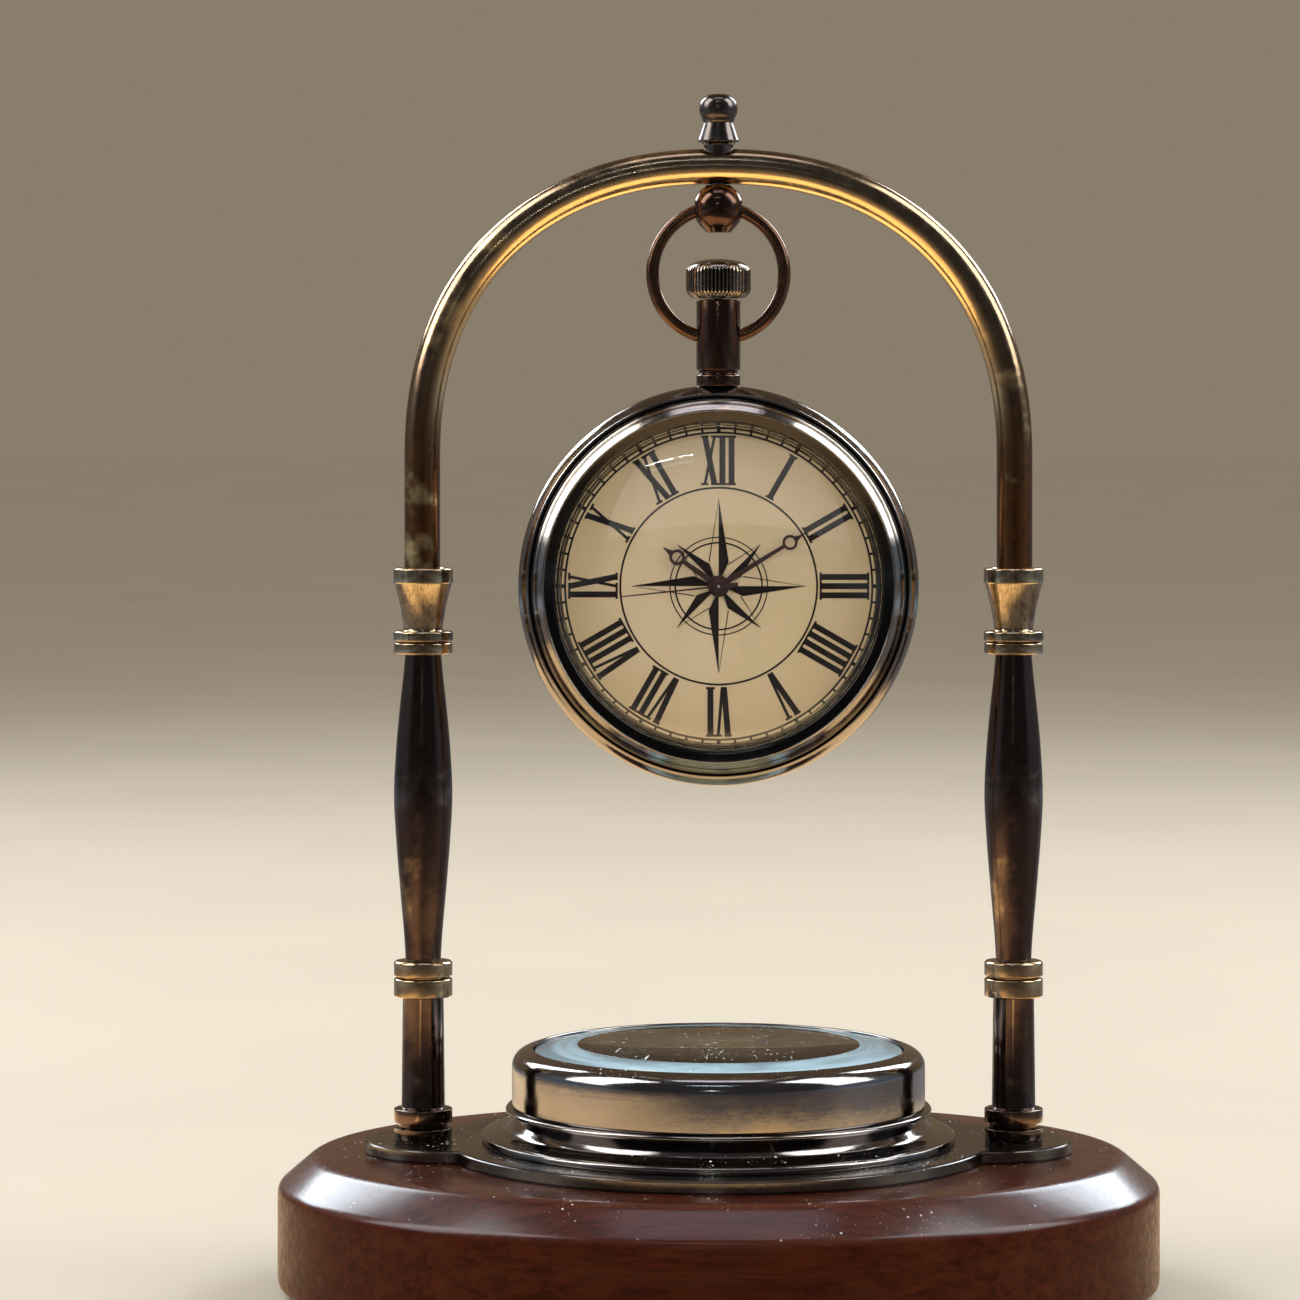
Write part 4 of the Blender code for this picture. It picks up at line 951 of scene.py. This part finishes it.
def build_compass():
    def add(name, outline, surface, node, slot="antique_brass", ring=False, fillet=0.12):
        turned(name, outline, surface, "stand", 160, ring, fillet, replaces=node, slot=slot)

    low, flange = COMPASS.low.z, COMPASS.size.x / 2
    inner = 22.4
    outline = [(0, low), (flange, low), (flange, low + 0.75, 0.25), (28.9, low + 0.95, 0.15)]
    outline += [(28.45, low + 1.0, 0.1)]
    cove = [(28.3, low + 1.05), (27.2, low + 1.2), (26.5, low + 1.5), (25.9, low + 2.15)]
    cove += [(25.3, low + 2.9), (25.05, low + 3.25)]
    outline += [(*p, 0) for p in smooth(cove, 5)]
    outline += [(25.1, low + 3.35, 0.05), (26.45, low + 3.4, 0.1), (26.65, low + 3.75, 0.3)]
    outline += [(26.4, low + 4.1, 0.2), (24.3, low + 4.15), (24.3, CARD.low.z - 0.1), (0, CARD.low.z - 0.1)]
    add("compass_foot", outline, compass_brass, "compass_body")

    low, top, edge = COMPASS_RIM.low.z, COMPASS_RIM.high.z, COMPASS_RIM.size.x / 2
    outline = [(23.0, low), (edge - 0.1, low + 0.02, 0.1), (edge, low + 0.25, 0.15), (edge, top - 2.6, 0.6)]
    outline += [(*p, 0) for p in arc(2.0, 8, 72, 8, (edge - 2.0, top - 2.25))]
    outline += [(23.35, top, 0.2), (23.15, top - 0.1, 0.1), (23.1, low + 2)]
    add("compass_rim", outline, compass_brass, "compass_bezel", ring=True)

    lens = Box("compass_glass")
    low, top, radius = lens.low.z, lens.high.z, lens.size.x / 2
    window = 17.7
    outline = [(0, low), (window - 0.03, low), (window - 0.03, top - 0.2, 0.04), (12, top - 0.06), (0, top)]
    add("compass_lens", outline, compass_glass, "compass_glass", "glass", fillet=0.1)
    outline = [(window, low), (radius - 0.15, low), (radius, low + 0.15), (radius, top - 1.0, 0.15)]
    outline += [(radius - 1.1, top - 0.72, 0.3), (window + 1.2, top - 0.3, 0.5), (window, top - 0.2, 0.03)]
    add("glass_bevel", outline, glass_edge_painted_reflection(), "compass_glass", "glass", True)

    low, top = CARD.low.z, CARD.high.z
    outline = [(0, low), (inner, low), (inner, top), (0, top)]
    add("compass_card", outline, card_face, "compass_dial", "worn_brass", fillet=0.04)
    seat = lens.low.z - 0.1
    outline = [(inner, low), (23.05, low), (23.05, seat), (22.6, seat), (inner, top + 0.9)]
    add("compass_wall", outline, card_brass, "compass_gasket", "black_plastic", True)

    marks, ticks_end = [], 17.3
    for degree in range(0, 360, 5):
        length = 2.2 if degree % 30 == 0 else 1.3 if degree % 10 == 0 else 0.8
        half = 0.14 if degree % 30 == 0 else 0.08
        tick = prism(bar(half, ticks_end - length, ticks_end), top, top + PRINT_HEIGHT)
        marks.append(clockwise(tick, degree))
    make_piece("compass_marks", merged(*marks), print_ink, "stand", slot="hand_paint")


def build_needle():
    cap = Box("needle_cap")
    low, top, radius = cap.low.z, cap.high.z, cap.size.x / 2
    outline = [(0, low + 0.3), (radius * 0.55, low + 0.3), (radius * 0.6, top - 1.2)]
    outline += [(radius, top - 1.15, 0.1), (radius, top - 0.9, 0.1), (radius * 0.8, top - 0.4, 0.2)]
    outline += [(radius * 0.6, top - 0.1, 0.15), (0, top)]
    # Painted highlight: the hub's brass is near white and partly matt, so it shows bright as a glint inside the
    # dark compass.
    pale = machined("hub_painted_glint", (0.9, 0.8, 0.58), (0.98, 0.9, 0.7), 0.3, metal=0.7)
    turned("needle_hub", outline, pale, "needle", 48, replaces="needle_cap", slot="worn_brass")

    needle = Box("compass_needle")
    bearing, reach, waist = 28.0, 17.5, 1.7
    blue = machined("needle_blue", (0.02, 0.035, 0.09), (0.04, 0.07, 0.16), 0.3)
    bright = machined("needle_bright", (0.5, 0.5, 0.52), (0.7, 0.7, 0.72), 0.25)
    for name, sign, surface in (("north", 1, blue), ("south", -1, bright)):
        half = prism(bar(waist, 0, sign * reach, 0.05), needle.low.z, needle.high.z, 0.05)
        half = clockwise(half, bearing)
        make_piece(f"needle_{name}", half, surface, "needle", "compass_needle", "steel")


# ---------------- parts kept from CAD


def paint_kept_parts():
    """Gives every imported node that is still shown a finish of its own, by its material slot."""
    moulded = machined("moulded_black", (0.02, 0.02, 0.022), (0.035, 0.035, 0.037), 0.5, 0, 2, 0.02)
    finishes = {
        "green_felt": felt(),
        "antique_brass": maroon_brass,
        "worn_brass": machined("movement_brass", (0.5, 0.37, 0.17), (0.66, 0.5, 0.25), 0.25),
        "steel": machined("machined_steel", (0.42, 0.42, 0.44), (0.6, 0.6, 0.62), 0.28),
        "black_plastic": moulded,
        "coil_copper": machined("coil_winding", (0.4, 0.14, 0.05), (0.62, 0.26, 0.1), 0.35, 0.9, 12, 0.03),
        "board_green": machined("circuit_resist", (0.012, 0.08, 0.035), (0.02, 0.13, 0.06), 0.4, 0, 3, 0.01),
        "hand_paint": hand_paint,
        "dial_cream": paper,
        "mahogany": wood,
        "glass": watch_glass,
    }
    slots = {part["node"]: part["material_slot"] for part in frame["record"]["subparts"]}
    for node, obj in frame["nodes"].items():
        for i in range(len(obj.data.materials)):
            obj.data.materials[i] = finishes[slots[node]]


# ---------------- stage, light and camera


FLOOR_TONE = (0.38, 0.325, 0.25)
BACKDROP_TONE = (0.25, 0.207, 0.151)
MIRRORED_LEFT, MIRRORED_RIGHT = (0.9, 0.62, 0.32), (0.08, 0.065, 0.06)
MIRRORED_FAR, MIRRORED_SIDE = (0.05, 0.042, 0.04), (0.2, 0.26, 0.34)


def build_stage():
    """A wide floor. Where the clock mirrors it, it has the tones of the room that the clock stood in."""
    s = Shader("studio_floor")
    x, y, _ = s.split()
    pale = s.mix(s.step(s.noise(0.01, 3, 0.5), 0.3, 0.7), FLOOR_TONE, scaled(FLOOR_TONE, 1.04))
    rightward = s.times(s.step(s.radius(), 120, 175), s.step(x, -170, -20))
    outward = s.calc("MAXIMUM", rightward, s.step(s.radius(), 208, 240))
    mirrored = s.mix(outward, MIRRORED_LEFT, MIRRORED_RIGHT)
    mirrored = s.mix(s.step(y, -420, -230, 1.0, 0.0), mirrored, MIRRORED_FAR)
    mirrored = s.mix(s.step(s.calc("ABSOLUTE", x), 380, 620), mirrored, MIRRORED_SIDE)
    glossy = s.add("ShaderNodeLightPath").outputs["Is Glossy Ray"]
    s.set(Base_Color=s.mix(glossy, pale, mirrored), Roughness=0.7)
    mesh = bpy.data.meshes.new("studio_floor")
    rim = circle(6000 * MM, 36)
    mesh.from_pydata([(*corner, 0) for corner in rim], [], [tuple(range(len(rim)))])
    mesh.materials.append(s.material)
    placed("studio_floor", mesh)


def softbox(name, at, size, power, colour=(1, 1, 1)):
    light = bpy.data.lights.new(name, "AREA")
    light.shape, light.size, light.size_y = "RECTANGLE", size[0] * MM, size[1] * MM
    light.energy, light.color = power, colour
    lamp = placed(name, light, at)
    lamp.rotation_euler = (Vector((0, 0, 70)) - Vector(at)).to_track_quat("-Z", "Y").to_euler()
    return lamp


def build_lamps():
    for name, side, colour in (("left", -1, (0.97, 0.98, 1.0)), ("right", 1, (0.93, 0.97, 1.0))):
        softbox(f"{name}_softbox", (side * 650, -90, 600), (420, 760), 6.5, colour)
        softbox(f"{name}_back_softbox", (side * 480, 560, 500), (320, 420), 4.8, (0.82, 0.91, 1.0))
    softbox("front_strip", (-130, -1400, 400), (150, 4), 0.25, (0.8, 0.93, 1.0))
    softbox("overhead_strip", (-60, -620, 800), (300, 10), 0.25, (0.7, 0.85, 1.0))
    softbox("overhead_softbox", (0, -40, 900), (420, 200), 0.7, (0.84, 0.84, 1.0))
    fill = softbox("front_fill", (100, -1500, 500), (900, 700), 2.2, (1.0, 0.96, 0.9))
    fill.visible_glossy = False


def build_world():
    """One tone for the camera, another as light, and darker ones with a bright side in reflections."""
    world = bpy.data.worlds.new("studio")
    bpy.context.scene.world = world
    world.use_nodes = True
    nodes = Nodes(world.node_tree)

    def background(colour):
        return nodes.add("ShaderNodeBackground", inputs={"Color": colour}).outputs[0]

    def ramp(value, low, high):
        inputs = {"Value": value, "From Min": low, "From Max": high}
        return nodes.add("ShaderNodeMapRange", inputs=inputs).outputs[0]

    rays = nodes.add("ShaderNodeLightPath").outputs
    generated = nodes.add("ShaderNodeTexCoord").outputs["Generated"]
    direction = nodes.add("ShaderNodeSeparateXYZ", inputs={0: generated}).outputs
    front, behind = background((0.065, 0.068, 0.078)), background((0.2, 0.14, 0.09))
    mirrored = nodes.blend(ramp(direction["Y"], -0.3, 0.7), front, behind)
    aside = ramp(nodes.calc("ABSOLUTE", direction["X"]), 0.8, 0.93)
    mirrored = nodes.blend(aside, mirrored, background((0.22, 0.28, 0.36)))
    lit = nodes.blend(rays["Is Glossy Ray"], background((0.7, 0.665, 0.6)), mirrored)
    seen = nodes.blend(rays["Is Camera Ray"], lit, background(BACKDROP_TONE))
    nodes.feed(nodes.tree.nodes["World Output"].inputs["Surface"], seen)


def build_camera():
    """A level lens a little above the watch, 625 mm off, with the clock low and right of the middle."""
    camera = bpy.data.cameras.new("camera")
    camera.sensor_width, camera.lens, camera.shift_y = 36.0, 138.46, -0.2154
    bpy.context.scene.camera = placed("camera", camera, (-8.55, -625, 115), FACING_FRONT)
    bpy.context.scene.view_settings.view_transform = "Standard"


build_base()
build_plate()
post_materials = column_materials()
build_column("left", *post_materials)
build_column("right", *post_materials)
build_arch()
build_bead()
build_bow()
build_case()
build_pendant()
build_crown()
build_dial()
build_hands()
build_compass()
build_needle()
paint_kept_parts()
build_stage()
build_lamps()
build_world()
build_camera()
